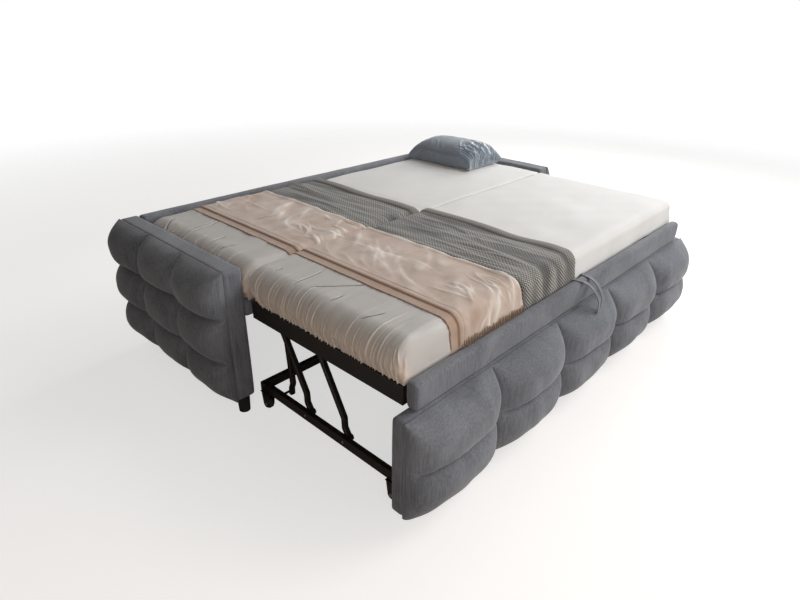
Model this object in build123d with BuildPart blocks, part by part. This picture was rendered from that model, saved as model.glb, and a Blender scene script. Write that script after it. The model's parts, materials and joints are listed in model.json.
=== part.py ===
from build123d import *
import math
import os

# Extendable daybed: an upholstered daybed with a wheeled, pop-up trundle pulled out in front of it.
# Units are millimetres. X runs along the bed, foot end at -X and pillow end at +X.
# Y runs across it, the trundle stands towards -Y. Z is up from the floor.
# The origin is on the floor, at the middle of the opened bed.

# Driving dimensions
mattress_length = 2000.0
mattress_width = 760.0
mattress_height = 122.0
mattress_base_z = 484.0
mattress_end_gap = 6.0
mattress_back_gap = 1.0
mattress_overhang = 6.0
mattress_seam_gap = 0.8
panel_thickness = 80.0
panel_top_z = 615.0
panel_bottom_z = 69.0
back_thickness = 60.0
front_panel_top_z = 408.0
front_panel_bottom_z = 46.0
front_panel_thickness = 53.0
trundle_margin = 18.0
deck_end_inset = 5.5
base_end_inset = 15.5
foot_puff_depth = 92.0
front_puff_depth = 103.0
skin = 8.0
contact_gap = 0.3
running_gap = 0.05
overrun = 20.0

# Derived outline
trundle_reach = mattress_width + trundle_margin
inner_half = mattress_length / 2 + mattress_end_gap
outer_half = inner_half + panel_thickness
bed_depth = mattress_width - mattress_overhang + mattress_back_gap + back_thickness
front_total = trundle_reach + front_panel_thickness + front_puff_depth
bed_front_y = (front_total - bed_depth) / 2
bed_back_y = bed_front_y + bed_depth
back_inner_y = bed_back_y - back_thickness
reach_y = bed_front_y - trundle_reach
panel_front_y = reach_y - front_panel_thickness
deck_half = mattress_length / 2 - deck_end_inset
base_half = deck_half - base_end_inset

# Upholstery
panel_edge_radius = 9.0
foot_columns = 3
front_columns = 5
front_row_seam_share = 0.478
puff_seam_gap = 0.6
# Outline of a puff across its width: the straight side's and the corner radius's shares of its depth
foot_corner_shares = (0.30, 0.62)
front_corner_shares = (0.05, 0.80)
puff_corner_turn = 68.0
# Depth of a puff up its height: (share of the row's height from its top, share of the crown's depth)
foot_row_shares = (((0.0, 0.05), (0.09, 0.46), (0.28, 0.84), (0.55, 1.0), (0.8, 0.9), (1.0, 0.38)),
                   ((0.0, 0.38), (0.2, 0.88), (0.45, 1.0), (0.74, 0.92), (1.0, 0.38)),
                   ((0.0, 0.38), (0.2, 0.8), (0.42, 0.87), (0.7, 0.7), (1.0, 0.12)))
front_row_shares = (((0.0, 0.05), (0.09, 0.43), (0.28, 0.82), (0.58, 1.0), (0.84, 0.96), (1.0, 0.78)),
                    ((0.0, 0.78), (0.18, 0.96), (0.45, 1.0), (0.72, 0.87), (0.9, 0.62), (1.0, 0.41)))

# Front rail of the main bed and padded top rail of the trundle
front_rail_setback = 8.0
front_rail_thickness = 30.0
front_rail_bottom_z = 410.0
front_rail_top_z = 478.0
top_rail_inset = 58.0
top_rail_thickness = 45.0
top_rail_top_z = 504.0
top_rail_edge_radius = 10.0
post_size = 12.0
post_reach = 55.0
post_count = 4

# Slats and their supports
slat_thickness = 12.0
slat_width = 62.0
slat_count = 14
slat_end_gap = 1.0
cleat_width = 20.0
cleat_height = 30.0
cleat_end_gap = 60.0
beam_width = 40.0
main_beam_height = 40.0
deck_beam_height = 20.0
beam_wall = 2.0

# Corner brackets and feet of the main bed
bracket_leg = 45.0
bracket_height = 50.0
bracket_sheet = 4.0
bracket_bottom_z = 420.0
bolt_head_radius = 7.0
bolt_head_height = 4.0
bolt_spacing = 26.0
bed_foot_top_radius = 25.0
bed_foot_floor_radius = 22.0
bed_foot_inset = 30.0

# Trundle base
base_bottom_z = 79.0
base_tube_width = 20.0
base_tube_height = 36.0
tube_wall = 2.0
cross_tube_place_share = 0.34
caster_rear_inset = 28.0
caster_front_inset = 54.0
caster_plate_length = 48.0
caster_plate_width = 38.0
caster_sheet = 3.0
caster_cheek_length = 32.0
wheel_radius = 22.0
wheel_width = 20.0
wheel_hub_radius = 9.0
wheel_hub_width = 23.0
wheel_edge_chamfer = 2.5
axle_radius = 4.0
axle_head_radius = 7.0
axle_head_height = 2.5
panel_bolt_count = 4

# Pop-up deck
deck_rear_gap = 24.0
deck_front_gap = 1.0
deck_rail_height = 66.0
deck_side_width = 25.0
angle_sheet = 3.0
angle_ledge = 26.0

# Links and props
link_pivot_z = 97.0
deck_pivot_z = 440.0
link_lean = 170.0
rear_link_setback = 276.5
front_link_setback = 483.5
link_width = 18.0
link_thickness = 22.0
link_edge_chamfer = 3.5
eye_radius = 12.5
pin_radius = 5.0
pin_head_radius = 9.0
pin_head_height = 2.5
side_gap = 0.5
boss_radius = 13.0
link_plane_gap = 2.0
open_pivot_gap = 0.3
strut_bend_radius = 15.0
prop_foot_z = 88.0
prop_lean = 15.0
peg_radius = 5.0
peg_z = 92.0
# Joggle of a strut near its foot: (share of its length, share of its width), from the lower pivot
link_joggle_shares = ((0.105, -0.18), (0.2, 0.7))
# Joggle of the prop, from its upper pivot
prop_joggle_shares = ((0.85, -0.75), (0.92, -0.1), (1.0, 0.0))

# Bedding
pad_tuck = 11.0
pad_shoulder_drop = 16.0
pad_shoulder_inset = 10.0
pad_corner_inset = 44.0
pad_crown = 5.0
pad_end_length = 34.0
pad_end_inset = 15.0
# Rounded end of a mattress: (share of the end's length, share of its inset)
pad_end_shares = ((0.0, 1.0), (0.15, 0.48), (0.45, 0.12), (1.0, 0.0))
end_base_share = 0.5
shoulder_mid_share = (0.34, 0.70)
quilt_thickness = 4.5
quilt_end_x = -395.0
quilt_hem_rise = 3.0
throw_thickness = 5.0
main_beige_span = (-792.0, -384.0)
trundle_beige_span = (-785.0, -388.0)
main_grey_span = (-380.0, -42.0)
trundle_grey_span = (-384.0, -5.0)
throw_hem_rise = 24.0
beige_fold_shares = (1.0, 2.3, 1.7, 1.2, 1.5, 1.0, 1.35, 1.05, 1.4, 1.1)
grey_fold_shares = (1.0, 2.1, 1.2, 2.3, 1.3, 2.0, 1.2, 2.2, 1.3, 2.4, 2.9, 3.2, 2.0)
pillow_length = 500.0
pillow_width = 340.0
pillow_height = 135.0
pillow_x = 832.0
pillow_back_gap = 5.0
# Pillow along its length: (share of the length, share of the width, share of the height)
pillow_shares = ((0.0, 0.84, 0.22), (0.05, 0.93, 0.45), (0.2, 0.96, 0.82), (0.5, 1.0, 1.0),
                 (0.8, 0.96, 0.82), (0.95, 0.93, 0.45), (1.0, 0.84, 0.22))
pillow_seam_share = 0.4
# Underside of the pillow: base's share of the half width, then the turn's shares of the width and seam height
pillow_base_share = (0.66, 0.9, 0.36)
strap_width = 18.0
strap_thickness = 2.4
strap_x = 11.0
strap_spread = 76.0
strap_tail = 14.0
strap_out = 117.0
strap_drop = 118.0
strap_bend_radius = 7.0
strap_curl_radius = 34.0
strap_curl_share = 0.84


def save(builder, name):
    """Labels a finished piece and writes its STEP file."""
    builder.part.label = name
    export_step(builder.part, "parts/" + name + ".step")


def middle(span):
    """Returns the middle of a span."""
    return (span[0] + span[1]) / 2


def length(span):
    """Returns the length of a span."""
    return span[1] - span[0]


def shrink(span, margin):
    """Returns a span that is shorter by a margin at each end."""
    return (span[0] + margin, span[1] - margin)


def sided(side, near, far):
    """Returns the X span between two distances from the middle, on the foot (-1) or head (1) side."""
    return (min(side * near, side * far), max(side * near, side * far))


def spaced(span, count, width):
    """Returns the middles of a row of equal pieces that fills a span from end to end."""
    first = span[0] + width / 2
    step = (length(span) - width) / (count - 1)
    return [first + index * step for index in range(count)]


def across(x, y, z=0):
    """Returns the upright plane across the bed at a place: its x is Y, its y is Z, it faces +X."""
    return Plane(origin=(x, y, z), x_dir=(0, 1, 0), z_dir=(1, 0, 0))


def along(x, y, z):
    """Returns the upright plane along the bed at a place: its x is X and it faces +Y."""
    return Plane(origin=(x, y, z), x_dir=(1, 0, 0), z_dir=(0, 1, 0))


def block(x_span, y_span, z_span, mode=Mode.ADD):
    """Adds a block between three spans to the part in work."""
    with BuildSketch(Plane.XY.offset(z_span[0])) as outline:
        with Locations((middle(x_span), middle(y_span))):
            Rectangle(length(x_span), length(y_span))
    extrude(outline.sketch, amount=length(z_span), mode=mode)


def tube(plane, width, height, wall, run, radius=0):
    """Adds a rectangular tube that runs from its plane, with its corners rounded by a radius."""
    with BuildSketch(plane) as section:
        if radius > 0:
            RectangleRounded(width, height, radius)
        else:
            Rectangle(width, height)
        Rectangle(width - 2 * wall, height - 2 * wall, mode=Mode.SUBTRACT)
    extrude(section.sketch, amount=run)


def rod(x_span, y, z, radius, mode=Mode.ADD):
    """Adds a round rod along X to the part in work."""
    with BuildSketch(across(x_span[0], y, z)) as section:
        Circle(radius)
    extrude(section.sketch, amount=length(x_span), mode=mode)


def head(x_span, y, z, radius):
    """Adds a six-sided bolt head or nut along X to the part in work."""
    with BuildSketch(across(x_span[0], y, z)) as section:
        RegularPolygon(radius, 6)
    extrude(section.sketch, amount=length(x_span))


def post_holes(post_xs, post_y):
    """Cuts the holes in which the posts between the front panel and the top rail stand."""
    for x in post_xs:
        with BuildSketch(Plane.XY.offset(front_panel_top_z - post_reach)) as hole:
            with Locations((x, post_y)):
                Rectangle(post_size, post_size)
        extrude(hole.sketch, amount=2 * post_reach, mode=Mode.SUBTRACT)


def upholster(name, x_span, y_span, z_span, radius, post_xs=(), post_y=0):
    """Makes a board's wooden core and the padded cover sewn round it, with holes for upright posts."""
    core_spans = [shrink(span, skin) for span in (x_span, y_span, z_span)]
    with BuildPart() as core:
        block(*core_spans)
        post_holes(post_xs, post_y)
    save(core, name + "_core")
    with BuildPart() as cover:
        block(x_span, y_span, z_span)
        fillet(cover.edges(), radius)
        block(*core_spans, mode=Mode.SUBTRACT)
        post_holes(post_xs, post_y)
    save(cover, name + "_cover")


def puff(place, width, z_span, depth, corner_shares, row_shares):
    """Adds one puff: a loft up its height through sections of a straight back, two sides and three arcs."""
    half = (width - puff_seam_gap) / 2
    sections = []
    for height_share, depth_share in row_shares:
        out = depth * depth_share
        z = z_span[1] - length(z_span) * height_share
        side = out * corner_shares[0]
        radius = out * corner_shares[1]
        bend, corner = [(half - radius * (1 - math.cos(turn)), side + radius * math.sin(turn))
                        for turn in (math.radians(puff_corner_turn / 2), math.radians(puff_corner_turn))]
        plane = Plane(origin=place.origin + Vector(0, 0, z), x_dir=place.x_dir, z_dir=place.z_dir)
        with BuildSketch(plane) as section:
            with BuildLine():
                Line((-half, 0), (half, 0))
                Line((half, 0), (half, side))
                ThreePointArc((half, side), bend, corner)
                ThreePointArc(corner, (0, out), (-corner[0], corner[1]))
                ThreePointArc((-corner[0], corner[1]), (-bend[0], bend[1]), (-half, side))
                Line((-half, side), (-half, 0))
            make_face()
        sections.append(section.sketch.face())
    loft(sections, ruled=True)


def cushion_section(plane, half, base, height, grow):
    """Returns a cushion's cross-section: a flat base, bulging sides, round shoulders and a crown."""
    side = half + grow
    top = base + height + grow
    foot = (side - pad_tuck, base)
    hip = (side - pad_shoulder_inset, top - pad_shoulder_drop)
    brow = (side - pad_corner_inset, top - pad_crown)
    round_mid = (brow[0] + (hip[0] - brow[0]) * shoulder_mid_share[0],
                 hip[1] + (brow[1] - hip[1]) * shoulder_mid_share[1])
    bulge = (side, (base + hip[1]) / 2)
    with BuildSketch(plane) as section:
        with BuildLine():
            Line((-foot[0], foot[1]), foot)
            ThreePointArc(foot, bulge, hip)
            ThreePointArc(hip, round_mid, brow)
            ThreePointArc(brow, (0, top), (-brow[0], brow[1]))
            ThreePointArc((-brow[0], brow[1]), (-round_mid[0], round_mid[1]), (-hip[0], hip[1]))
            ThreePointArc((-hip[0], hip[1]), (-bulge[0], bulge[1]), (-foot[0], foot[1]))
        make_face()
    return section.sketch.face()


def pad(x_span, y, grow, mode=Mode.ADD):
    """Adds a mattress shape with rounded ends, grown evenly on all sides but its base."""
    ends = [(pad_end_length * along, pad_end_inset * inset) for along, inset in pad_end_shares]
    places = [(x_span[0] + along, inset) for along, inset in ends]
    places += [(x_span[1] - along, inset) for along, inset in reversed(ends)]
    half = mattress_width / 2
    sections = []
    for x, inset in places:
        sections.append(cushion_section(across(x, y), half - inset, mattress_base_z + inset * end_base_share,
                                        mattress_height - inset, grow))
    loft(sections, ruled=True, mode=mode)


def quilt(name, y, cut_spans):
    """Makes the pleated quilt that wraps a mattress's foot half, cut back to the sides it covers."""
    half_length = mattress_length / 2
    top_z = mattress_base_z + mattress_height + quilt_thickness + overrun
    wide = (y - mattress_width, y + mattress_width)
    with BuildPart() as piece:
        pad((-half_length - quilt_thickness, half_length), y, quilt_thickness)
        pad((-half_length - contact_gap, half_length + overrun), y, contact_gap, mode=Mode.SUBTRACT)
        block((quilt_end_x, half_length + overrun), wide, (mattress_base_z - overrun, top_z), mode=Mode.SUBTRACT)
        block((-half_length - overrun, half_length), wide,
              (mattress_base_z - overrun, mattress_base_z + quilt_hem_rise), mode=Mode.SUBTRACT)
        for y_span in cut_spans:
            block((-half_length - overrun, half_length + overrun), y_span,
                  (mattress_base_z - overrun, top_z), mode=Mode.SUBTRACT)
    save(piece, name)


def throw(name, x_span, y, clear, fold_shares, cut_spans, hem_z):
    """Makes a throw laid across a mattress, its folds running across the bed, cut back to where it ends."""
    step = length(x_span) / (len(fold_shares) - 1)
    top_z = mattress_base_z + mattress_height + overrun * 2
    wide = shrink(x_span, -overrun)
    with BuildPart() as piece:
        sections = []
        for index, fold_share in enumerate(fold_shares):
            grow = clear + throw_thickness * fold_share
            sections.append(cushion_section(across(x_span[0] + index * step, y), mattress_width / 2,
                                            mattress_base_z, mattress_height, grow))
        loft(sections, ruled=True)
        inner = [cushion_section(across(x, y), mattress_width / 2, mattress_base_z, mattress_height, clear)
                 for x in wide]
        loft(inner, ruled=True, mode=Mode.SUBTRACT)
        block(wide, (y - mattress_width, y + mattress_width), (mattress_base_z - 2 * overrun, hem_z),
              mode=Mode.SUBTRACT)
        for y_span in cut_spans:
            block(wide, y_span, (mattress_base_z - overrun, top_z), mode=Mode.SUBTRACT)
    save(piece, name)


def strut(points, centre_x, thickness):
    """Adds a bent tube that follows points in an upright plane across the bed, with tight rounded bends."""
    flat = [(point.Y, point.Z) for point in points]
    with BuildLine(across(centre_x, 0)) as centre_line:
        FilletPolyline(*flat, radius=strut_bend_radius)
    start = centre_line.line @ 0
    with BuildSketch(Plane(origin=start, x_dir=(1, 0, 0), z_dir=centre_line.line % 0)) as section:
        Rectangle(thickness, link_width)
        chamfer(section.vertices(), link_edge_chamfer)
        Rectangle(thickness - 2 * tube_wall, link_width - 2 * tube_wall, mode=Mode.SUBTRACT)
    sweep(section.sketch, path=centre_line.line)


def eye(side, outer, y, z, bore):
    """Adds the round eye at the end of a strut and bores it for its pin."""
    x_span = sided(side, outer - link_thickness, outer)
    rod(x_span, y, z, eye_radius)
    rod(x_span, y, z, bore, mode=Mode.SUBTRACT)


os.makedirs("parts", exist_ok=True)

inner_span = (-inner_half, inner_half)
panel_z_span = (panel_bottom_z, panel_top_z)
bed_y_span = (bed_front_y, bed_back_y)

# End panels of the main bed, foot end and head end, each with its grid of puffs on the outside
for end, side in (("foot", -1), ("head", 1)):
    upholster(end + "_panel", sided(side, inner_half, outer_half), bed_y_span, panel_z_span, panel_edge_radius)
    puff_width = bed_depth / foot_columns
    puff_height = length(panel_z_span) / len(foot_row_shares)
    with BuildPart() as end_puffs:
        for column in range(foot_columns):
            for row, row_shares in enumerate(foot_row_shares):
                place = Plane(origin=(side * outer_half, bed_front_y + puff_width * (column + 0.5), 0),
                              x_dir=(0, -side, 0), z_dir=(0, 0, 1))
                row_top = panel_top_z - row * puff_height
                row_span = shrink((row_top - puff_height, row_top), puff_seam_gap / 2)
                puff(place, puff_width, row_span, foot_puff_depth, foot_corner_shares, row_shares)
    save(end_puffs, end + "_panel_puffs")

# Back panel and front rail between the end panels
upholster("back_panel", inner_span, (back_inner_y, bed_back_y), panel_z_span, panel_edge_radius)
rail_front_y = bed_front_y + front_rail_setback
rail_back_y = rail_front_y + front_rail_thickness
upholster("front_rail", inner_span, (rail_front_y, rail_back_y), (front_rail_bottom_z, front_rail_top_z),
          panel_edge_radius)

# Cleats screwed to the front rail and the back panel, the beam between the end panels, and the slats
slat_bottom_z = mattress_base_z - slat_thickness
cleat_x_span = shrink(inner_span, cleat_end_gap)
cleat_z_span = (slat_bottom_z - cleat_height, slat_bottom_z)
with BuildPart() as slat_cleats:
    block(cleat_x_span, (rail_back_y, rail_back_y + cleat_width), cleat_z_span)
    block(cleat_x_span, (back_inner_y - cleat_width, back_inner_y), cleat_z_span)
save(slat_cleats, "slat_cleats")

beam_y = (rail_back_y + back_inner_y) / 2
with BuildPart() as main_beam:
    tube(across(-inner_half, beam_y, slat_bottom_z - main_beam_height / 2), beam_width, main_beam_height,
         beam_wall, 2 * inner_half)
save(main_beam, "main_beam")

slat_span = (-mattress_length / 2, mattress_length / 2)
with BuildPart() as main_slats:
    for x in spaced(slat_span, slat_count, slat_width):
        block((x - slat_width / 2, x + slat_width / 2), (rail_back_y + slat_end_gap, back_inner_y - slat_end_gap),
              (slat_bottom_z, mattress_base_z))
save(main_slats, "main_slats")

# Corner brackets of folded sheet and their bolts
bracket_z_span = (bracket_bottom_z, bracket_bottom_z + bracket_height)
bracket_places = [(side, face_y, inward) for side in (-1, 1)
                  for face_y, inward in ((rail_back_y, 1), (back_inner_y, -1))]
with BuildPart() as corner_brackets:
    for side, face_y, inward in bracket_places:
        y_leg = sorted((face_y, face_y + inward * bracket_leg))
        y_sheet = sorted((face_y, face_y + inward * bracket_sheet))
        block(sided(side, inner_half - bracket_leg, inner_half), y_sheet, bracket_z_span)
        block(sided(side, inner_half - bracket_sheet, inner_half), y_leg, bracket_z_span)
save(corner_brackets, "corner_brackets")

with BuildPart() as bracket_bolts:
    for side, face_y, inward in bracket_places:
        bolt_y = face_y + inward * (bracket_sheet + bracket_leg) / 2
        for offset in (-bolt_spacing / 2, bolt_spacing / 2):
            bolt_plane = Plane(origin=(side * (inner_half - bracket_sheet), bolt_y, middle(bracket_z_span) + offset),
                               x_dir=(0, 1, 0), z_dir=(-side, 0, 0))
            with BuildSketch(bolt_plane) as bolt_head:
                RegularPolygon(bolt_head_radius, 6)
            extrude(bolt_head.sketch, amount=bolt_head_height)
save(bracket_bolts, "bracket_bolts")

# Round feet under the corners of the end panels
with BuildPart() as bed_feet:
    for side in (-1, 1):
        for y in (bed_front_y + bed_foot_inset, bed_back_y - bed_foot_inset):
            foot_x = side * (inner_half + panel_thickness / 2)
            with BuildSketch(Plane(origin=(foot_x, y, 0), x_dir=(1, 0, 0), z_dir=(0, 0, 1))) as foot_floor:
                Circle(bed_foot_floor_radius)
            with BuildSketch(Plane(origin=(foot_x, y, panel_bottom_z), x_dir=(1, 0, 0), z_dir=(0, 0, 1))) as foot_top:
                Circle(bed_foot_top_radius)
            loft([foot_floor.sketch.face(), foot_top.sketch.face()], ruled=True)
save(bed_feet, "bed_feet")

# Bedding of the main bed
seam_y = bed_front_y - mattress_overhang
main_pad_y = seam_y + mattress_width / 2
mattress_span = (-mattress_length / 2, mattress_length / 2)
with BuildPart() as main_mattress:
    pad(mattress_span, main_pad_y, 0)
save(main_mattress, "main_mattress")

main_cuts = [(seam_y - overrun, seam_y + pad_shoulder_inset),
             (seam_y + mattress_width - pad_shoulder_inset, seam_y + mattress_width + overrun)]
quilt("main_quilt", main_pad_y, main_cuts)
quilt_clear = quilt_thickness + contact_gap
hem_z = mattress_base_z + throw_hem_rise
throw("main_beige_throw", main_beige_span, main_pad_y, quilt_clear, beige_fold_shares, main_cuts, hem_z)
throw("main_grey_throw", main_grey_span, main_pad_y, contact_gap, grey_fold_shares, main_cuts, hem_z)

# Pillow: sections across its length, each a flat base, two turned-up sides and a crown
pillow_y = back_inner_y - pillow_back_gap - pillow_length / 2
pillow_z = mattress_base_z + mattress_height + contact_gap
with BuildPart() as pillow:
    pillow_sections = []
    for length_share, width_share, height_share in pillow_shares:
        half = pillow_width / 2 * width_share
        crown = pillow_height * height_share
        seam = (half, crown * pillow_seam_share)
        turn = (half * pillow_base_share[1], crown * pillow_seam_share * pillow_base_share[2])
        base = half * pillow_base_share[0]
        place_y = pillow_y + pillow_length * (length_share - 0.5)
        section_plane = Plane(origin=(pillow_x, place_y, pillow_z), x_dir=(1, 0, 0), z_dir=(0, -1, 0))
        with BuildSketch(section_plane) as pillow_section:
            with BuildLine():
                Line((-base, 0), (base, 0))
                ThreePointArc((base, 0), turn, seam)
                ThreePointArc(seam, (0, crown), (-seam[0], seam[1]))
                ThreePointArc((-seam[0], seam[1]), (-turn[0], turn[1]), (-base, 0))
            make_face()
        pillow_sections.append(pillow_section.sketch.face())
    loft(pillow_sections)
save(pillow, "pillow")

# Trundle base: four rails and two cross tubes
base_z = base_bottom_z + base_tube_height / 2
base_inner = base_half - base_tube_width
rail_run = trundle_reach - 2 * base_tube_width
rail_start_y = reach_y + base_tube_width
link_ys = {"rear": bed_front_y - rear_link_setback, "front": bed_front_y - front_link_setback}
sides = (("foot", -1), ("head", 1))

for place, rail_y in (("rear", bed_front_y - base_tube_width / 2), ("front", reach_y + base_tube_width / 2)):
    with BuildPart() as base_rail:
        tube(across(-base_half, rail_y, base_z), base_tube_width, base_tube_height, tube_wall, 2 * base_half)
    save(base_rail, "base_" + place + "_rail")

upper_rear_y = link_ys["rear"] + link_lean
prop_drop = deck_pivot_z - prop_foot_z
prop_run = math.hypot(prop_lean, prop_drop)
prop_down = Vector(0, -prop_lean, -prop_drop) / prop_run
prop_back = Vector(0, prop_drop, -prop_lean) / prop_run
prop_points = [Vector(0, upper_rear_y, deck_pivot_z)]
for run_share, back_share in prop_joggle_shares:
    prop_points.append(prop_points[0] + prop_down * (prop_run * run_share) + prop_back * (link_width * back_share))
prop_toe = (prop_points[-1] - prop_points[-2]).normalized()
prop_heel = Vector(0, -prop_toe.Z, prop_toe.Y)
peg_reach = (prop_points[-1].Z - peg_z) / prop_toe.Z
peg_at = (prop_points[-1] - prop_toe * peg_reach
          + prop_heel * (link_width / 2 + contact_gap + peg_radius))

for end, side in sides:
    rail_x = side * (base_half - base_tube_width / 2)
    with BuildPart() as base_side_rail:
        tube(along(rail_x, rail_start_y, base_z), base_tube_width, base_tube_height, tube_wall, rail_run)
        for pivot_y in link_ys.values():
            rod(sided(side, base_inner - overrun, base_half + overrun), pivot_y, link_pivot_z, pin_radius,
                mode=Mode.SUBTRACT)
    save(base_side_rail, "base_" + end + "_rail")

with BuildPart() as base_cross_tubes:
    for side in (-1, 1):
        tube(along(side * base_half * cross_tube_place_share, rail_start_y, base_z), base_tube_width,
             base_tube_height, tube_wall, rail_run)
save(base_cross_tubes, "base_cross_tubes")

# Casters: a folded bracket under the base near each corner, its axle and its wheel
caster_x = base_half - base_tube_width / 2
caster_ys = {"rear": bed_front_y - caster_rear_inset, "front": reach_y + caster_front_inset}
cheek_gap = wheel_hub_width / 2 + side_gap
cheek_outer = cheek_gap + caster_sheet
with BuildPart() as caster_brackets:
    for side in (-1, 1):
        for caster_y in caster_ys.values():
            centre_x = side * caster_x
            block((centre_x - caster_plate_width / 2, centre_x + caster_plate_width / 2),
                  (caster_y - caster_plate_length / 2, caster_y + caster_plate_length / 2),
                  (base_bottom_z - caster_sheet, base_bottom_z))
            for cheek in (-1, 1):
                cheek_x = centre_x + min(cheek * cheek_gap, cheek * cheek_outer)
                with BuildSketch(across(cheek_x, caster_y, 0)) as cheek_sheet:
                    with BuildLine():
                        top = (caster_plate_length / 2, base_bottom_z - caster_sheet)
                        low = (caster_cheek_length / 2, wheel_radius)
                        Line((-top[0], top[1]), top)
                        Line(top, low)
                        ThreePointArc(low, (0, wheel_radius - low[0]), (-low[0], low[1]))
                        Line((-low[0], low[1]), (-top[0], top[1]))
                    make_face()
                    with Locations((0, wheel_radius)):
                        Circle(axle_radius, mode=Mode.SUBTRACT)
                extrude(cheek_sheet.sketch, amount=caster_sheet)
save(caster_brackets, "caster_brackets")

with BuildPart() as caster_axles:
    for side in (-1, 1):
        for caster_y in caster_ys.values():
            centre_x = side * caster_x
            rod((centre_x - cheek_outer, centre_x + cheek_outer), caster_y, wheel_radius, axle_radius)
            for cheek in (-1, 1):
                head_x = sorted((centre_x + cheek * cheek_outer,
                                 centre_x + cheek * (cheek_outer + axle_head_height)))
                head(head_x, caster_y, wheel_radius, axle_head_radius)
save(caster_axles, "caster_axles")

for end, side in sides:
    for place, caster_y in caster_ys.items():
        with BuildPart() as wheel:
            with BuildSketch(along(side * caster_x, caster_y, wheel_radius)) as wheel_section:
                with BuildLine():
                    Polyline((wheel_hub_width / 2, axle_radius + running_gap),
                             (wheel_hub_width / 2, wheel_hub_radius),
                             (wheel_width / 2, wheel_hub_radius),
                             (wheel_width / 2, wheel_radius),
                             (-wheel_width / 2, wheel_radius),
                             (-wheel_width / 2, wheel_hub_radius),
                             (-wheel_hub_width / 2, wheel_hub_radius),
                             (-wheel_hub_width / 2, axle_radius + running_gap), close=True)
                make_face()
                chamfer(wheel_section.vertices().group_by(Axis.Y)[-1], wheel_edge_chamfer)
            revolve(wheel_section.sketch, axis=Axis((0, caster_y, wheel_radius), (1, 0, 0)))
        save(wheel, "caster_wheel_" + end + "_" + place)

# Front panel of the trundle with its puffs, and the padded rail that stands on it on hidden posts
front_half = inner_half + panel_thickness / 2
top_rail_half = front_half - top_rail_inset
post_y = reach_y - top_rail_thickness / 2
post_xs = spaced((-top_rail_half + 2 * post_reach, top_rail_half - 2 * post_reach), post_count, post_size)
front_z_span = (front_panel_bottom_z, front_panel_top_z)
upholster("front_panel", (-front_half, front_half), (panel_front_y, reach_y), front_z_span,
          panel_edge_radius, post_xs, post_y)
upholster("top_rail", (-top_rail_half, top_rail_half), (reach_y - top_rail_thickness, reach_y),
          (front_panel_top_z, top_rail_top_z), top_rail_edge_radius, post_xs, post_y)

with BuildPart() as rail_posts:
    for x in post_xs:
        with BuildSketch(Plane.XY.offset(front_panel_top_z - post_reach)) as post:
            with Locations((x, post_y)):
                Rectangle(post_size, post_size)
        extrude(post.sketch, amount=2 * post_reach)
save(rail_posts, "rail_posts")

front_puff_width = 2 * front_half / front_columns
row_seam_z = front_panel_bottom_z + length(front_z_span) * (1 - front_row_seam_share)
with BuildPart() as front_panel_puffs:
    for column in range(front_columns):
        place = Plane(origin=(-front_half + front_puff_width * (column + 0.5), panel_front_y, 0),
                      x_dir=(-1, 0, 0), z_dir=(0, 0, 1))
        z_spans = ((row_seam_z, front_panel_top_z), (front_panel_bottom_z, row_seam_z))
        for z_span, row_shares in zip(z_spans, front_row_shares):
            puff(place, front_puff_width, shrink(z_span, puff_seam_gap / 2), front_puff_depth,
                 front_corner_shares, row_shares)
save(front_panel_puffs, "front_panel_puffs")

# Bolts that hold the front panel to the base, their heads inside the front rail's back
with BuildPart() as panel_bolts:
    for x in spaced((-base_half + post_reach, base_half - post_reach), panel_bolt_count, 2 * bolt_head_radius):
        with BuildSketch(along(x, reach_y + base_tube_width, base_z)) as panel_bolt:
            RegularPolygon(bolt_head_radius, 6)
        extrude(panel_bolt.sketch, amount=bolt_head_height)
save(panel_bolts, "panel_bolts")

# Pull strap: two legs of webbing that come over the top rail and meet in front of it
strap_slant = math.atan2(strap_spread / 2, strap_out)
strap_back = contact_gap + strap_thickness / 2 + strap_width / 2 * math.sin(strap_slant)
with BuildPart() as pull_strap:
    for side in (-1, 1):
        start = Vector(strap_x + side * strap_spread / 2, reach_y + strap_back, 0)
        tip = Vector(strap_x, reach_y - strap_out, 0)
        reach = (tip - start).length
        over_z = top_rail_top_z + contact_gap + strap_thickness / 2
        strap_plane = Plane(origin=start, x_dir=tip - start, z_dir=(tip - start).cross(Vector(0, 0, 1)))
        with BuildLine(strap_plane) as strap_line:
            FilletPolyline((0, top_rail_top_z - strap_tail), (0, over_z),
                           (reach * strap_curl_share, over_z), (reach, top_rail_top_z - strap_drop),
                           radius=(strap_bend_radius, strap_curl_radius))
        with BuildSketch(Plane(origin=strap_line.line @ 0, x_dir=strap_plane.z_dir, z_dir=(0, 0, 1))) as strap_section:
            Rectangle(strap_width, strap_thickness)
        sweep(strap_section.sketch, path=strap_line.line)
save(pull_strap, "pull_strap")

# Pop-up deck: angle rails front and rear that hold the slats, tubes at the ends, and a beam along the middle
deck_rear_y = bed_front_y - deck_rear_gap
deck_front_y = reach_y + deck_front_gap
deck_bottom_z = mattress_base_z - deck_rail_height
deck_inner = deck_half - deck_side_width
for place, rail_y, inward in (("rear", deck_rear_y, -1), ("front", deck_front_y, 1)):
    with BuildPart() as deck_rail:
        y_sheet = sorted((rail_y, rail_y + inward * angle_sheet))
        y_ledge = sorted((rail_y + inward * angle_sheet, rail_y + inward * angle_ledge))
        block((-deck_half, deck_half), y_sheet, (deck_bottom_z, mattress_base_z))
        block((-deck_inner, deck_inner), y_ledge, (slat_bottom_z - angle_sheet, slat_bottom_z))
    save(deck_rail, "deck_" + place + "_rail")

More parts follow.
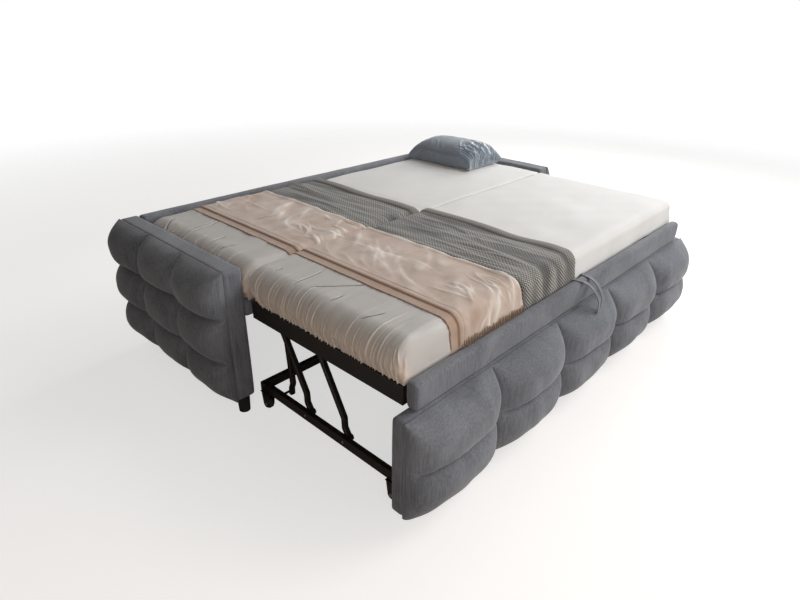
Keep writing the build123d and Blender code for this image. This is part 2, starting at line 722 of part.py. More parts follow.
deck_run = deck_rear_y - deck_front_y - 2 * angle_sheet
deck_z = mattress_base_z - deck_rail_height / 2
for end, side in sides:
    with BuildPart() as deck_side_rail:
        tube(along(side * (deck_half - deck_side_width / 2), deck_front_y + angle_sheet, deck_z),
             deck_side_width, deck_rail_height, tube_wall, deck_run)
    save(deck_side_rail, "deck_" + end + "_rail")

deck_mid_y = (deck_rear_y + deck_front_y) / 2
with BuildPart() as deck_beam:
    tube(across(-deck_inner, deck_mid_y, slat_bottom_z - deck_beam_height / 2), beam_width, deck_beam_height,
         beam_wall, 2 * deck_inner)
save(deck_beam, "deck_beam")

deck_slat_y_span = (deck_front_y + angle_sheet + slat_end_gap, deck_rear_y - angle_sheet - slat_end_gap)
deck_slat_x_span = (-deck_inner + slat_end_gap, deck_inner - slat_end_gap)
with BuildPart() as deck_slats:
    for x in spaced(deck_slat_x_span, slat_count, slat_width):
        block((x - slat_width / 2, x + slat_width / 2), deck_slat_y_span, (slat_bottom_z, mattress_base_z))
save(deck_slats, "deck_slats")

# Pivots: the links run in one upright plane beside the base's rail, the props in the next one inwards
link_outer = base_inner - link_plane_gap
link_inner = link_outer - link_thickness
head_outer = link_inner - side_gap
head_inner = head_outer - pin_head_height
prop_outer = head_inner - link_plane_gap
prop_inner = prop_outer - link_thickness
upper_ys = {place: pivot_y + link_lean for place, pivot_y in link_ys.items()}

with BuildPart() as lower_pivot_pins:
    for side in (-1, 1):
        for pivot_y in link_ys.values():
            rod(sided(side, head_outer, base_half), pivot_y, link_pivot_z, pin_radius)
            head(sided(side, head_inner, head_outer), pivot_y, link_pivot_z, pin_head_radius)
            head(sided(side, link_outer + side_gap, base_inner), pivot_y, link_pivot_z, pin_head_radius)
save(lower_pivot_pins, "lower_pivot_pins")

with BuildPart() as prop_pegs:
    for side in (-1, 1):
        rod(sided(side, prop_inner, base_inner), peg_at.Y, peg_at.Z, peg_radius)
save(prop_pegs, "prop_pegs")

with BuildPart() as deck_bosses:
    for side in (-1, 1):
        for pivot_y in upper_ys.values():
            rod(sided(side, link_outer + side_gap, deck_inner), pivot_y, deck_pivot_z, boss_radius)
            rod(sided(side, link_outer, deck_inner), pivot_y, deck_pivot_z, pin_radius, mode=Mode.SUBTRACT)
save(deck_bosses, "deck_bosses")

with BuildPart() as upper_pivot_pins:
    for side in (-1, 1):
        rod(sided(side, head_outer, deck_inner), upper_ys["front"], deck_pivot_z, pin_radius)
        head(sided(side, head_inner, head_outer), upper_ys["front"], deck_pivot_z, pin_head_radius)
        rod(sided(side, prop_inner - side_gap, deck_inner), upper_ys["rear"], deck_pivot_z, pin_radius)
        head(sided(side, prop_outer + side_gap, head_outer), upper_ys["rear"], deck_pivot_z, pin_head_radius)
        head(sided(side, prop_inner - side_gap - pin_head_height, prop_inner - side_gap), upper_ys["rear"],
             deck_pivot_z, pin_head_radius)
save(upper_pivot_pins, "upper_pivot_pins")

# Four joggled links, and two props that share the rear links' upper pins
link_rise = deck_pivot_z - link_pivot_z
link_run = math.hypot(link_lean, link_rise)
link_up = Vector(0, link_lean, link_rise) / link_run
link_fore = Vector(0, -link_rise, link_lean) / link_run
for place, pivot_y in link_ys.items():
    for end, side in sides:
        foot_at = Vector(0, pivot_y, link_pivot_z)
        points = [foot_at]
        for run_share, fore_share in link_joggle_shares:
            points.append(foot_at + link_up * (link_run * run_share) + link_fore * (link_width * fore_share))
        points.append(foot_at + link_up * link_run)
        open_pivot = place == "rear" or end == "head"
        with BuildPart() as link:
            strut(points, side * (link_outer - link_thickness / 2), link_thickness)
            eye(side, link_outer, pivot_y, link_pivot_z, pin_radius + running_gap)
            eye(side, link_outer, upper_ys[place], deck_pivot_z,
                pin_radius + (open_pivot_gap if open_pivot else running_gap))
        save(link, place + "_link_" + end)

for end, side in sides:
    with BuildPart() as prop:
        strut(prop_points, side * (prop_outer - link_thickness / 2), link_thickness)
        eye(side, prop_outer, upper_rear_y, deck_pivot_z, pin_radius + running_gap)
    save(prop, "prop_" + end)

# Bedding of the trundle
trundle_pad_y = seam_y - mattress_seam_gap - mattress_width / 2
trundle_seam_y = seam_y - mattress_seam_gap
with BuildPart() as trundle_mattress:
    pad(mattress_span, trundle_pad_y, 0)
save(trundle_mattress, "trundle_mattress")

trundle_cuts = [(trundle_seam_y - pad_shoulder_inset, trundle_seam_y + overrun)]
quilt("trundle_quilt", trundle_pad_y, trundle_cuts)
throw("trundle_beige_throw", trundle_beige_span, trundle_pad_y, quilt_clear, beige_fold_shares, trundle_cuts, hem_z)
throw("trundle_grey_throw", trundle_grey_span, trundle_pad_y, contact_gap, grey_fold_shares, trundle_cuts, hem_z)
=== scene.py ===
"""Looks of an extendable daybed, dressed round its packed construction.

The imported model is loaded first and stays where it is. Every soft part of it is
replaced by a finer piece in the same place, and every hard part keeps its shape
and gets its own finish.
"""

from __future__ import annotations

import json
import logging
import math
from dataclasses import dataclass, field
from enum import Enum
from typing import Callable, Sequence

import bpy
import numpy as np
from mathutils import Euler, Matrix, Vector

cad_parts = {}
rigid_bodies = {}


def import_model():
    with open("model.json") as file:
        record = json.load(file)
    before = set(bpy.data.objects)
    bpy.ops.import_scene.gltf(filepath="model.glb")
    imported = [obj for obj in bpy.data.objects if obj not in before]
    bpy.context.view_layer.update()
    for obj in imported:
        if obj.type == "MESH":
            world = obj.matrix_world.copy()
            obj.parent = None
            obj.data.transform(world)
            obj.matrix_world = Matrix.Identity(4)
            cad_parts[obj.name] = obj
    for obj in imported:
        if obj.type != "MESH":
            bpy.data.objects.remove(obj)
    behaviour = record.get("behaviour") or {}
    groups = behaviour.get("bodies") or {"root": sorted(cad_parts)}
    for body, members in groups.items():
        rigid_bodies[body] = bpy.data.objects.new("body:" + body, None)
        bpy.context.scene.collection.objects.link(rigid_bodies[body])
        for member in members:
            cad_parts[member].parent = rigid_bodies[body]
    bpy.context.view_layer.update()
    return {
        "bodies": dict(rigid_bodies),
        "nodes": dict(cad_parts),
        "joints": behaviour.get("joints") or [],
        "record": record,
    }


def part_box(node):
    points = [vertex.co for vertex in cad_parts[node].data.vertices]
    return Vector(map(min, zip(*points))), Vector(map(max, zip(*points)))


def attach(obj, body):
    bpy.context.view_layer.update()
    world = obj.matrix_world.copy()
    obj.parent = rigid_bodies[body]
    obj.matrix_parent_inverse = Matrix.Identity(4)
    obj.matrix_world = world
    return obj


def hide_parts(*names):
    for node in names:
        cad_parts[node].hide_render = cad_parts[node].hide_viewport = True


log = logging.getLogger("daybed")

Colour = tuple[float, float, float]
Table = tuple[tuple[float, float], ...]
Piece = bpy.types.Object
Socket = bpy.types.NodeSocket
FlatValue = Callable[[np.ndarray, np.ndarray], np.ndarray]

WELD = 1e-5


# Small mathematics


class Ripple:
    """Smooth seeded noise, a sum of plane waves between two wavelengths."""

    def __init__(self, seed: int, shortest: float, longest: float, axes: int = 3, waves: int = 14) -> None:
        """Draws the waves.

        Args:
            seed: start of the random draw.
            shortest: shortest wavelength in metres.
            longest: longest wavelength in metres.
            axes: number of coordinates the noise depends on.
            waves: number of plane waves.
        """
        draw = np.random.default_rng(seed)
        lengths = np.exp(draw.uniform(math.log(shortest), math.log(longest), waves))
        headings = draw.normal(size=(waves, axes))
        headings /= np.linalg.norm(headings, axis=1)[:, None]
        self.steps = headings * (2 * math.pi / lengths)[:, None]
        self.phases = draw.uniform(0, 2 * math.pi, waves)
        weights = np.sqrt(lengths)
        self.weights = weights / np.sqrt((weights**2).sum() / 2)

    def at(self, *coordinates: np.ndarray) -> np.ndarray:
        """Returns the noise, about -2 to 2, at arrays of coordinates in metres."""
        total = np.zeros(np.broadcast(*coordinates).shape)
        for step, phase, weight in zip(self.steps, self.phases, self.weights):
            angle = phase + sum(share * place for share, place in zip(step, coordinates))
            total += weight * np.sin(angle)
        return total


def eased(value: np.ndarray, low: float, high: float) -> np.ndarray:
    """Returns 0 below low, 1 above high and a smooth step between them."""
    share = np.clip((value - low) / (high - low), 0, 1)
    return share * share * (3 - 2 * share)


def through(table: Table, places: np.ndarray) -> np.ndarray:
    """Returns a smooth curve through a table's points, with no overshoot.

    Args:
        table: pairs of place and value, in rising order of place.
        places: where the curve is wanted.

    Returns:
        The curve's values.
    """
    x, y = (np.array(column, float) for column in zip(*table))
    rise = np.diff(y) / np.diff(x)
    slope = np.concatenate([[rise[0]], (rise[1:] + rise[:-1]) / 2, [rise[-1]]])
    turning = np.concatenate([[False], rise[1:] * rise[:-1] <= 0, [False]])
    slope[turning] = 0
    index = np.clip(np.searchsorted(x, places) - 1, 0, len(x) - 2)
    width = x[index + 1] - x[index]
    t = np.clip((places - x[index]) / width, 0, 1)
    low, high = y[index], y[index + 1]
    return (
        low * (1 + 2 * t) * (1 - t) ** 2
        + width * slope[index] * t * (1 - t) ** 2
        + high * t**2 * (3 - 2 * t)
        - width * slope[index + 1] * t**2 * (1 - t)
    )


def crowded(count: int) -> np.ndarray:
    """Returns count shares from 0 to 1 that lie closer together at both ends."""
    return (1 - np.cos(np.linspace(0, math.pi, count))) / 2


# Meshes


@dataclass
class Cloth:
    """Points and four-sided faces of a piece in the making, with the flat place of each point."""

    points: np.ndarray
    faces: np.ndarray
    flat: np.ndarray | None = None

    @staticmethod
    def grid(points: np.ndarray, flat: np.ndarray | None = None, turned: bool = False) -> Cloth:
        """Makes a sheet from a grid of points.

        Args:
            points: rows x columns x 3 places.
            flat: rows x columns x 2 places on the flat cloth.
            turned: whether the faces look the other way.

        Returns:
            The sheet.
        """
        rows, columns = points.shape[:2]
        index = np.arange(rows * columns).reshape(rows, columns)
        faces = np.stack([index[:-1, :-1], index[:-1, 1:], index[1:, 1:], index[1:, :-1]], -1).reshape(-1, 4)
        if turned:
            faces = faces[:, ::-1]
        return Cloth(points.reshape(-1, 3), faces, None if flat is None else flat.reshape(-1, 2))

    @staticmethod
    def joined(parts: Sequence[Cloth]) -> Cloth:
        """Puts several pieces of cloth into one, not yet sewn together."""
        starts = np.cumsum([0] + [len(part.points) for part in parts[:-1]])
        faces = np.concatenate([part.faces + start for part, start in zip(parts, starts)])
        flats = [part.flat for part in parts]
        flat = None if any(place is None for place in flats) else np.concatenate(flats)
        return Cloth(np.concatenate([part.points for part in parts]), faces, flat)

    def sewn(self) -> Cloth:
        """Returns the cloth with points at the same place made one."""
        _, first, index = np.unique(
            np.round(self.points / WELD).astype(np.int64), axis=0, return_index=True, return_inverse=True
        )
        flat = None if self.flat is None else self.flat[first]
        return Cloth(self.points[first], index.reshape(-1)[self.faces], flat)

    def piece(self, name: str) -> Piece:
        """Makes the object, smooth all over, with its flat places as a UV map.

        Args:
            name: the piece's name.

        Returns:
            The new object, at the origin.
        """
        mesh = bpy.data.meshes.new(name)
        mesh.from_pydata(self.points.tolist(), [], self.faces.tolist())
        mesh.polygons.foreach_set("use_smooth", np.ones(len(mesh.polygons), bool))
        if self.flat is not None:
            corners = np.zeros(len(mesh.loops), np.int32)
            mesh.loops.foreach_get("vertex_index", corners)
            layer = mesh.uv_layers.new(name="cloth")
            layer.data.foreach_set("uv", self.flat[corners].astype(np.float32).ravel())
        mesh.validate()
        mesh.update()
        return in_scene(name, mesh)


def in_scene(name: str, data: bpy.types.ID) -> Piece:
    """Puts a mesh, curve, lamp or camera into the scene as an object."""
    made = bpy.data.objects.new(name, data)
    bpy.context.scene.collection.objects.link(made)
    return made


def mark(piece: Piece, name: str, values: np.ndarray) -> None:
    """Stores a value at each point of a piece, for its finish to read."""
    layer = piece.data.attributes.new(name, "FLOAT", "POINT")
    layer.data.foreach_set("value", values.astype(np.float32).ravel())


def evenly(low: float, high: float, step: float) -> np.ndarray:
    """Returns places from low to high that lie about a step apart."""
    return np.linspace(low, high, max(2, round((high - low) / step) + 1))


def box_cloth(lines: Sequence[np.ndarray], open_sides: Sequence[str] = ()) -> Cloth:
    """Makes the skin of a box as a fine grid, with the sides that are named left open.

    Args:
        lines: where the grid's lines lie along X, Y and Z, from one side of the box to the other.
        open_sides: sides such as "+x" or "-z".

    Returns:
        The sewn skin, its faces outwards.
    """
    parts = []
    for axis, letter in enumerate("xyz"):
        first, second = [other for other in range(3) if other != axis]
        for sign, value in (("-", lines[axis][0]), ("+", lines[axis][-1])):
            if sign + letter in open_sides:
                continue
            across_first, across_second = np.meshgrid(lines[first], lines[second], indexing="ij")
            points = np.zeros(across_first.shape + (3,))
            points[..., first], points[..., second], points[..., axis] = across_first, across_second, value
            outwards = (sign == "+") == (axis != 1)
            parts.append(Cloth.grid(points, turned=outwards))
    return Cloth.joined(parts).sewn()


@dataclass
class Block:
    """A box with rounded edges, on which padding and cloth lie.

    The end radii are for the -X and the +X end, the side radii for the -Y and the +Y side. Each
    says how far that rounding reaches along the top and down from it. The power is 2 for upright
    corners that are round and more for squarer ones.
    """

    low: np.ndarray
    high: np.ndarray
    end_radii: tuple[float, float]
    side_radii: tuple[float, float]
    foot_radius: float
    power: float = 2.0

    def rounded(self, points: np.ndarray) -> tuple[np.ndarray, np.ndarray]:
        """Moves points of the box's skin on to the rounded block.

        Args:
            points: places on the skin of the square box.

        Returns:
            The places on the rounded block, and the directions straight out of it.
        """
        middle = (self.low[2] + self.high[2]) / 2
        up = eased(points[..., 2], self.low[2] + self.foot_radius, middle)
        centre = (self.low + self.high) / 2
        end = np.where(points[..., 0] < centre[0], *self.end_radii)
        side = np.where(points[..., 1] < centre[1], *self.side_radii)
        inset = np.minimum(points[..., 0] - self.low[0], self.high[0] - points[..., 0])
        near = 1 - eased(inset, end * 0.5, end * 2.6)
        top = side + np.maximum(end - side, 0) * near
        radii = np.empty_like(points)
        radii[..., 0] = self.foot_radius + (end - self.foot_radius) * up
        radii[..., 1] = self.foot_radius + (side - self.foot_radius) * up
        radii[..., 2] = np.where(points[..., 2] > middle - 0.03, top, self.foot_radius)
        inner = np.clip(points, self.low + radii, self.high - radii)
        away = (points - inner) / radii
        flat = np.maximum(np.abs(away[..., :2]), 1e-9)
        plan = (flat**self.power).sum(-1)
        size = np.maximum(np.sqrt(plan ** (2 / self.power) + away[..., 2] ** 2), 1e-9)
        away = away / size[..., None]
        out = away / radii
        out[..., :2] *= (flat / plan[..., None] ** (1 / self.power)) ** (self.power - 2)
        out /= np.maximum(np.linalg.norm(out, axis=-1), 1e-9)[..., None]
        return inner + away * radii, out


def only(piece: Piece) -> None:
    """Selects one piece and makes it active, and nothing else."""
    bpy.ops.object.select_all(action="DESELECT")
    piece.select_set(True)
    bpy.context.view_layer.objects.active = piece


def apply_all(piece: Piece) -> None:
    """Applies every modifier of a piece, in order."""
    only(piece)
    for modifier in list(piece.modifiers):
        bpy.ops.object.modifier_apply(modifier=modifier.name)


def thicken(piece: Piece, thickness: float) -> None:
    """Gives a cloth its thickness, inwards from the side that shows."""
    solidify = piece.modifiers.new("thickness", "SOLIDIFY")
    solidify.thickness = thickness
    solidify.offset = -1
    apply_all(piece)


def facing_out(piece: Piece) -> None:
    """Sews a closed piece's doubles and turns its faces outwards."""
    only(piece)
    bpy.ops.object.mode_set(mode="EDIT")
    bpy.ops.mesh.select_all(action="SELECT")
    bpy.ops.mesh.remove_doubles(threshold=WELD)
    bpy.ops.mesh.normals_make_consistent(inside=False)
    bpy.ops.object.mode_set(mode="OBJECT")


def settle(piece: Piece) -> None:
    """Applies a piece's place, turn and size to its mesh."""
    only(piece)
    bpy.ops.object.transform_apply(location=True, rotation=True, scale=True)


def merged(pieces: Sequence[Piece], name: str) -> Piece:
    """Joins several pieces into one under a new name."""
    bpy.ops.object.select_all(action="DESELECT")
    for piece in pieces:
        piece.select_set(True)
    bpy.context.view_layer.objects.active = pieces[0]
    bpy.ops.object.join()
    pieces[0].name = name
    pieces[0].data.name = name
    return pieces[0]


def vertices_of(piece: Piece) -> np.ndarray:
    """Returns the places of a piece's vertices."""
    places = np.empty(len(piece.data.vertices) * 3)
    piece.data.vertices.foreach_get("co", places)
    return places.reshape(-1, 3)


def stuffed(piece: Piece, voxel: float, pressure: float, most: float, frames: int = 20) -> None:
    """Blows a closed case up from inside as cloth, so that it swells like a filled one.

    Args:
        piece: the closed case, a little smaller than it will be.
        voxel: size of the even mesh that it gets.
        pressure: how hard it is blown up.
        most: how far a point may move.
        frames: number of steps.
    """
    only(piece)
    mesh = piece.modifiers.new("even_mesh", "REMESH")
    mesh.mode = "VOXEL"
    mesh.voxel_size = voxel
    mesh.use_smooth_shade = True
    apply_all(piece)
    start = vertices_of(piece)
    cloth = piece.modifiers.new("case", "CLOTH")
    cloth.settings.use_pressure = True
    cloth.settings.uniform_pressure_force = pressure
    cloth.settings.effector_weights.gravity = 0
    cloth.point_cache.frame_start = 1
    cloth.point_cache.frame_end = frames
    for frame in range(1, frames + 1):
        bpy.context.scene.frame_set(frame)
    swollen = piece.evaluated_get(bpy.context.evaluated_depsgraph_get())
    move = vertices_of(swollen) - start
    piece.modifiers.remove(cloth)
    bpy.context.scene.frame_set(1)
    reach = np.linalg.norm(move, axis=1)
    move *= np.minimum(1, most / np.maximum(reach, 1e-9))[:, None]
    piece.data.vertices.foreach_set("co", (start + move).ravel())
    smooth = piece.modifiers.new("finer", "SUBSURF")
    smooth.levels = smooth.render_levels = 1
    apply_all(piece)


def rounded_path(corners: Sequence[Sequence[float]], radius: float, closed: bool = False) -> np.ndarray:
    """Returns a line through corners, with each corner turned on a small curve.

    Args:
        corners: the corners in order.
        radius: how far before and after a corner its curve starts and ends.
        closed: whether the last corner joins the first.

    Returns:
        The line's points.
    """
    corners = [np.array(corner, float) for corner in corners]
    count = len(corners)
    line = [] if closed else [corners[0]]
    turns = range(count) if closed else range(1, count - 1)
    for index in turns:
        before, here, after = corners[index - 1], corners[index], corners[(index + 1) % count]
        start = here + (before - here) / np.linalg.norm(before - here) * radius
        end = here + (after - here) / np.linalg.norm(after - here) * radius
        for share in np.linspace(0, 1, 7):
            line.append(start * (1 - share) ** 2 + here * 2 * share * (1 - share) + end * share**2)
    if not closed:
        line.append(corners[-1])
    return np.array(line)


def piping(name: str, path: np.ndarray, radius: float, closed: bool = False) -> Piece:
    """Makes the thin corded edge that is sewn into an upholstery seam.

    Args:
        name: the piece's name.
        path: points along the seam.
        radius: the cord's radius.
        closed: whether the seam runs in a ring.

    Returns:
        The new object.
    """
    curve = bpy.data.curves.new(name, "CURVE")
    curve.dimensions = "3D"
    curve.bevel_depth = radius
    curve.bevel_resolution = 2
    curve.use_fill_caps = not closed
    spline = curve.splines.new("POLY")
    spline.points.add(len(path) - 1)
    for point, place in zip(spline.points, path):
        point.co = (*place, 1)
    spline.use_cyclic_u = closed
    only(in_scene(name, curve))
    bpy.ops.object.convert(target="MESH")
    made = bpy.context.view_layer.objects.active
    made.name = name
    bpy.ops.object.shade_smooth()
    return made


# Materials


class NodeSheet:
    """Short ways to lay out shader nodes in a node tree."""

    def __init__(self, tree: bpy.types.NodeTree) -> None:
        """Keeps the tree that the nodes go into."""
        self.tree = tree

    def add(self, kind: str, inputs: dict | None = None, **settings: object) -> bpy.types.Node:
        """Adds a node.

        Args:
            kind: the node's type.
            inputs: input name or number to a value or to another node's output.
            settings: properties of the node itself.

        Returns:
            The node.
        """
        node = self.tree.nodes.new(kind)
        for key, value in settings.items():
            setattr(node, key, value)
        self.feed(node, inputs or {})
        return node

    def feed(self, node: bpy.types.Node, inputs: dict) -> None:
        """Gives inputs of a node their values, or links other nodes' outputs to them."""
        for key, value in inputs.items():
            if isinstance(value, Socket):
                self.tree.links.new(value, node.inputs[key])
            else:
                node.inputs[key].default_value = value

    def place(self) -> Socket:
        """Adds the place on the object and returns it."""
        return self.add("ShaderNodeTexCoord").outputs["Object"]

    def stored(self, name: str) -> Socket:
        """Adds a value that is stored on the piece and returns it."""
        return self.add("ShaderNodeAttribute", attribute_name=name).outputs["Fac"]

    def effect(
        self, tree: bpy.types.NodeTree, place: Socket, amounts: dict | None = None
    ) -> bpy.types.Node:
        """Adds a shared effect at a place, with its amounts by name."""
        return self.add("ShaderNodeGroup", {"Vector": place, **(amounts or {})}, node_tree=tree)

    def sum(self, operation: str, first: object, second: object = 0.5, third: object = 0.0) -> Socket:
        """Adds a math node and returns its output."""
        node = self.add("ShaderNodeMath", {0: first, 1: second, 2: third}, operation=operation)
        return node.outputs[0]

    def noise(self, vector: object, scale: object, detail: float = 3.0, rough: float = 0.55) -> Socket:
        """Adds a noise texture and returns its grey output."""
        node = self.add(
            "ShaderNodeTexNoise", {"Vector": vector, "Scale": scale, "Detail": detail, "Roughness": rough}
        )
        return node.outputs["Fac"]

    def stretched(self, vector: object, scale: Sequence[float]) -> Socket:
        """Scales a place unevenly and returns it."""
        return self.add("ShaderNodeMapping", {"Vector": vector, "Scale": scale}).outputs[0]

    def mixed(self, share: object, first: object, second: object) -> Socket:
        """Mixes two colours and returns the result."""
        node = self.add("ShaderNodeMix", data_type="RGBA")
        for socket, value in (
            (node.inputs["Factor"], share), (node.inputs[6], first), (node.inputs[7], second)
        ):
            if isinstance(value, Socket):
                self.tree.links.new(value, socket)
            else:
                socket.default_value = (*value, 1.0) if isinstance(value, tuple) else value
        return node.outputs[2]

    def ranged(
        self, value: object, low: float, high: float, start: float = 0.0, end: float = 1.0
    ) -> Socket:
        """Maps a value from one range to another, held at both ends."""
        node = self.add(
            "ShaderNodeMapRange",
            {"Value": value, "From Min": low, "From Max": high, "To Min": start, "To Max": end},
        )
        return node.outputs["Result"]


class SharedEffects:
    """Shader effects that several finishes use, each a node group that is built once."""

    def __init__(self) -> None:
        """Builds all the groups."""
        self.pile = self._pile()
        self.weave = self._weave()
        self.dogtooth = self._dogtooth()
        self.orange_peel = self._orange_peel()

    @staticmethod
    def _group(name: str, inputs: Sequence[tuple[str, str, float]], outputs: Sequence[str]) -> tuple:
        """Starts a node group.

        Args:
            name: the group's name.
            inputs: name, socket type and default of each input.
            outputs: names of its grey outputs.

        Returns:
            The tree, a sheet on it, its input node and its output node.
        """
        tree = bpy.data.node_groups.new(name, "ShaderNodeTree")
        for label, kind, default in inputs:
            socket = tree.interface.new_socket(name=label, in_out="INPUT", socket_type=kind)
            if kind == "NodeSocketFloat":
                socket.default_value = default
        for label in outputs:
            tree.interface.new_socket(name=label, in_out="OUTPUT", socket_type="NodeSocketFloat")
        sheet = NodeSheet(tree)
        return tree, sheet, sheet.add("NodeGroupInput"), sheet.add("NodeGroupOutput")

    def _pile(self) -> bpy.types.NodeTree:
        """Builds the brushed pile of velvet or plush: large strokes, fine hairs and their height."""
        tree, sheet, given, out = self._group(
            "brushed_pile",
            [("Vector", "NodeSocketVector", 0), ("Stroke Size", "NodeSocketFloat", 7.0),
             ("Hair Size", "NodeSocketFloat", 900.0), ("Hair Share", "NodeSocketFloat", 0.25)],
            ["Tone", "Height"],
        )
        place = given.outputs["Vector"]
        broad = sheet.add("ShaderNodeTexNoise", {
            "Vector": place, "Scale": given.outputs["Stroke Size"], "Detail": 4.0, "Roughness": 0.55,
            "Distortion": 0.9}).outputs["Fac"]
        hairs = sheet.noise(place, given.outputs["Hair Size"], 2.0, 0.7)
        broad_tone = sheet.ranged(broad, 0.3, 0.7)
        tone = sheet.add("ShaderNodeMix", {
            "Factor": given.outputs["Hair Share"], 2: broad_tone, 3: hairs}).outputs[0]
        sheet.feed(out, {"Tone": tone, "Height": hairs})
        return tree

    def _weave(self) -> bpy.types.NodeTree:
        """Builds a plain weave of threads that go over and under each other."""
        tree, sheet, given, out = self._group(
            "plain_weave",
            [("Vector", "NodeSocketVector", 0), ("Threads", "NodeSocketFloat", 600.0)],
            ["Tone", "Height"],
        )
        parts = sheet.add("ShaderNodeSeparateXYZ", {0: given.outputs["Vector"]})
        turns = [sheet.sum("MULTIPLY", parts.outputs[axis], given.outputs["Threads"]) for axis in range(3)]
        waves = [sheet.sum("SINE", sheet.sum("MULTIPLY", turn, 2 * math.pi)) for turn in turns]
        height = sheet.sum("MULTIPLY", sheet.sum("ADD", waves[0], waves[2]), waves[1])
        place = sheet.stretched(given.outputs["Vector"], (90.0, 700.0, 90.0))
        slub = sheet.noise(place, 1.0, 2.0)
        sheet.feed(out, {"Tone": slub, "Height": sheet.sum("MULTIPLY_ADD", height, 0.25, 0.5)})
        return tree

    def _dogtooth(self) -> bpy.types.NodeTree:
        """Builds a knit of small staggered checks in two yarns from a flat place in metres."""
        tree, sheet, given, out = self._group(
            "dogtooth_knit", [("Vector", "NodeSocketVector", 0), ("Check", "NodeSocketFloat", 0.0145)],
            ["Tone", "Height"],
        )
        parts = sheet.add("ShaderNodeSeparateXYZ", {0: given.outputs["Vector"]})
        turns = [sheet.sum("DIVIDE", parts.outputs[axis], given.outputs["Check"]) for axis in (0, 1)]
        lean = sheet.sum("MULTIPLY_ADD", sheet.sum("PINGPONG", turns[1], 0.5), 0.4, turns[0])
        waves = [sheet.sum("SINE", sheet.sum("MULTIPLY", turn, 2 * math.pi)) for turn in (lean, turns[1])]
        check = sheet.sum("MULTIPLY", waves[0], waves[1])
        tone = sheet.ranged(check, -0.22, 0.22)
        sheet.feed(out, {"Tone": tone, "Height": sheet.sum("MULTIPLY_ADD", check, 0.5, 0.5)})
        return tree

    def _orange_peel(self) -> bpy.types.NodeTree:
        """Builds the fine skin of powder coat or moulded plastic, with scuffs."""
        tree, sheet, given, out = self._group(
            "moulded_skin", [("Vector", "NodeSocketVector", 0), ("Grain Size", "NodeSocketFloat", 500.0)],
            ["Scuff", "Height"],
        )
        grain = sheet.add("ShaderNodeTexNoise", {
            "Vector": given.outputs["Vector"], "Scale": given.outputs["Grain Size"],
            "Detail": 1.0}).outputs["Fac"]
        rubbed = sheet.noise(sheet.stretched(given.outputs["Vector"], (6.0, 6.0, 14.0)), 3.0, 6.0, 0.7)
        sheet.feed(out, {"Scuff": sheet.ranged(rubbed, 0.5, 0.8), "Height": grain})
        return tree


def principled(name: str) -> tuple[bpy.types.Material, NodeSheet, bpy.types.Node]:
    """Starts a material with a Principled shader.

    Args:
        name: the material's name.

    Returns:
        The material, a sheet on its nodes and its shader.
    """
    material = bpy.data.materials.new(name)
    material.use_nodes = True
    sheet = NodeSheet(material.node_tree)
    return material, sheet, material.node_tree.nodes["Principled BSDF"]


def bumped(
    sheet: NodeSheet, shader: bpy.types.Node, height: object, strength: float, distance: float
) -> None:
    """Feeds a height to a shader's normal through a Bump node."""
    bump = sheet.add("ShaderNodeBump", {"Height": height, "Strength": strength, "Distance": distance})
    sheet.tree.links.new(bump.outputs["Normal"], shader.inputs["Normal"])


@dataclass(frozen=True)
class VelvetFinish:
    """Short-pile upholstery velvet, lighter where the pile was brushed one way."""

    name: str
    dark: Colour
    light: Colour
    stroke_size: float = 5.0
    sheen: float = 0.35

    def build(self, effects: SharedEffects) -> bpy.types.Material:
        """Returns the material."""
        material, sheet, shader = principled(self.name)
        place = sheet.place()
        pile = sheet.effect(effects.pile, place, {"Stroke Size": self.stroke_size, "Hair Share": 0.3})
        streaks = sheet.noise(sheet.stretched(place, (190.0, 190.0, 11.0)), 1.0, 3.0, 0.6)
        grain = sheet.noise(place, 260.0, 3.0, 0.65)
        yarn = sheet.sum("MULTIPLY_ADD", grain, 0.35, sheet.sum("MULTIPLY", streaks, 0.5))
        tone = sheet.sum("MULTIPLY_ADD", pile.outputs["Tone"], 0.3, yarn)
        share = sheet.ranged(tone, 0.36, 0.78)
        sheet.feed(shader, {
            "Base Color": sheet.mixed(share, self.dark, self.light),
            "Roughness": sheet.ranged(pile.outputs["Tone"], 0, 1, 0.95, 0.78),
            "Sheen Weight": self.sheen, "Sheen Roughness": 0.45, "Specular IOR Level": 0.2,
        })
        height = sheet.sum("ADD", pile.outputs["Height"], sheet.sum("MULTIPLY", streaks, 0.8))
        bumped(sheet, shader, height, 0.35, 0.0008)
        return material


@dataclass(frozen=True)
class WovenFinish:
    """Plain woven or satin cloth with a soft gloss."""

    name: str
    dark: Colour
    light: Colour
    threads: float = 700.0
    roughness: float = 0.6
    sheen: float = 0.2
    gloss: float = 0.3

    def build(self, effects: SharedEffects) -> bpy.types.Material:
        """Returns the material."""
        material, sheet, shader = principled(self.name)
        place = sheet.place()
        weave = sheet.effect(effects.weave, place, {"Threads": self.threads})
        pile = sheet.effect(effects.pile, place, {"Stroke Size": 3.0})
        strokes = sheet.sum("MULTIPLY", pile.outputs["Tone"], 0.6)
        tone = sheet.sum("MULTIPLY_ADD", weave.outputs["Tone"], 0.4, strokes)
        smoothest, roughest = self.roughness - 0.07, self.roughness + 0.07
        sheet.feed(shader, {
            "Base Color": sheet.mixed(tone, self.dark, self.light),
            "Roughness": sheet.ranged(weave.outputs["Tone"], 0.3, 0.7, smoothest, roughest),
            "Sheen Weight": self.sheen, "Specular IOR Level": self.gloss,
        })
        bumped(sheet, shader, weave.outputs["Height"], 0.15, 0.0004)
        return material


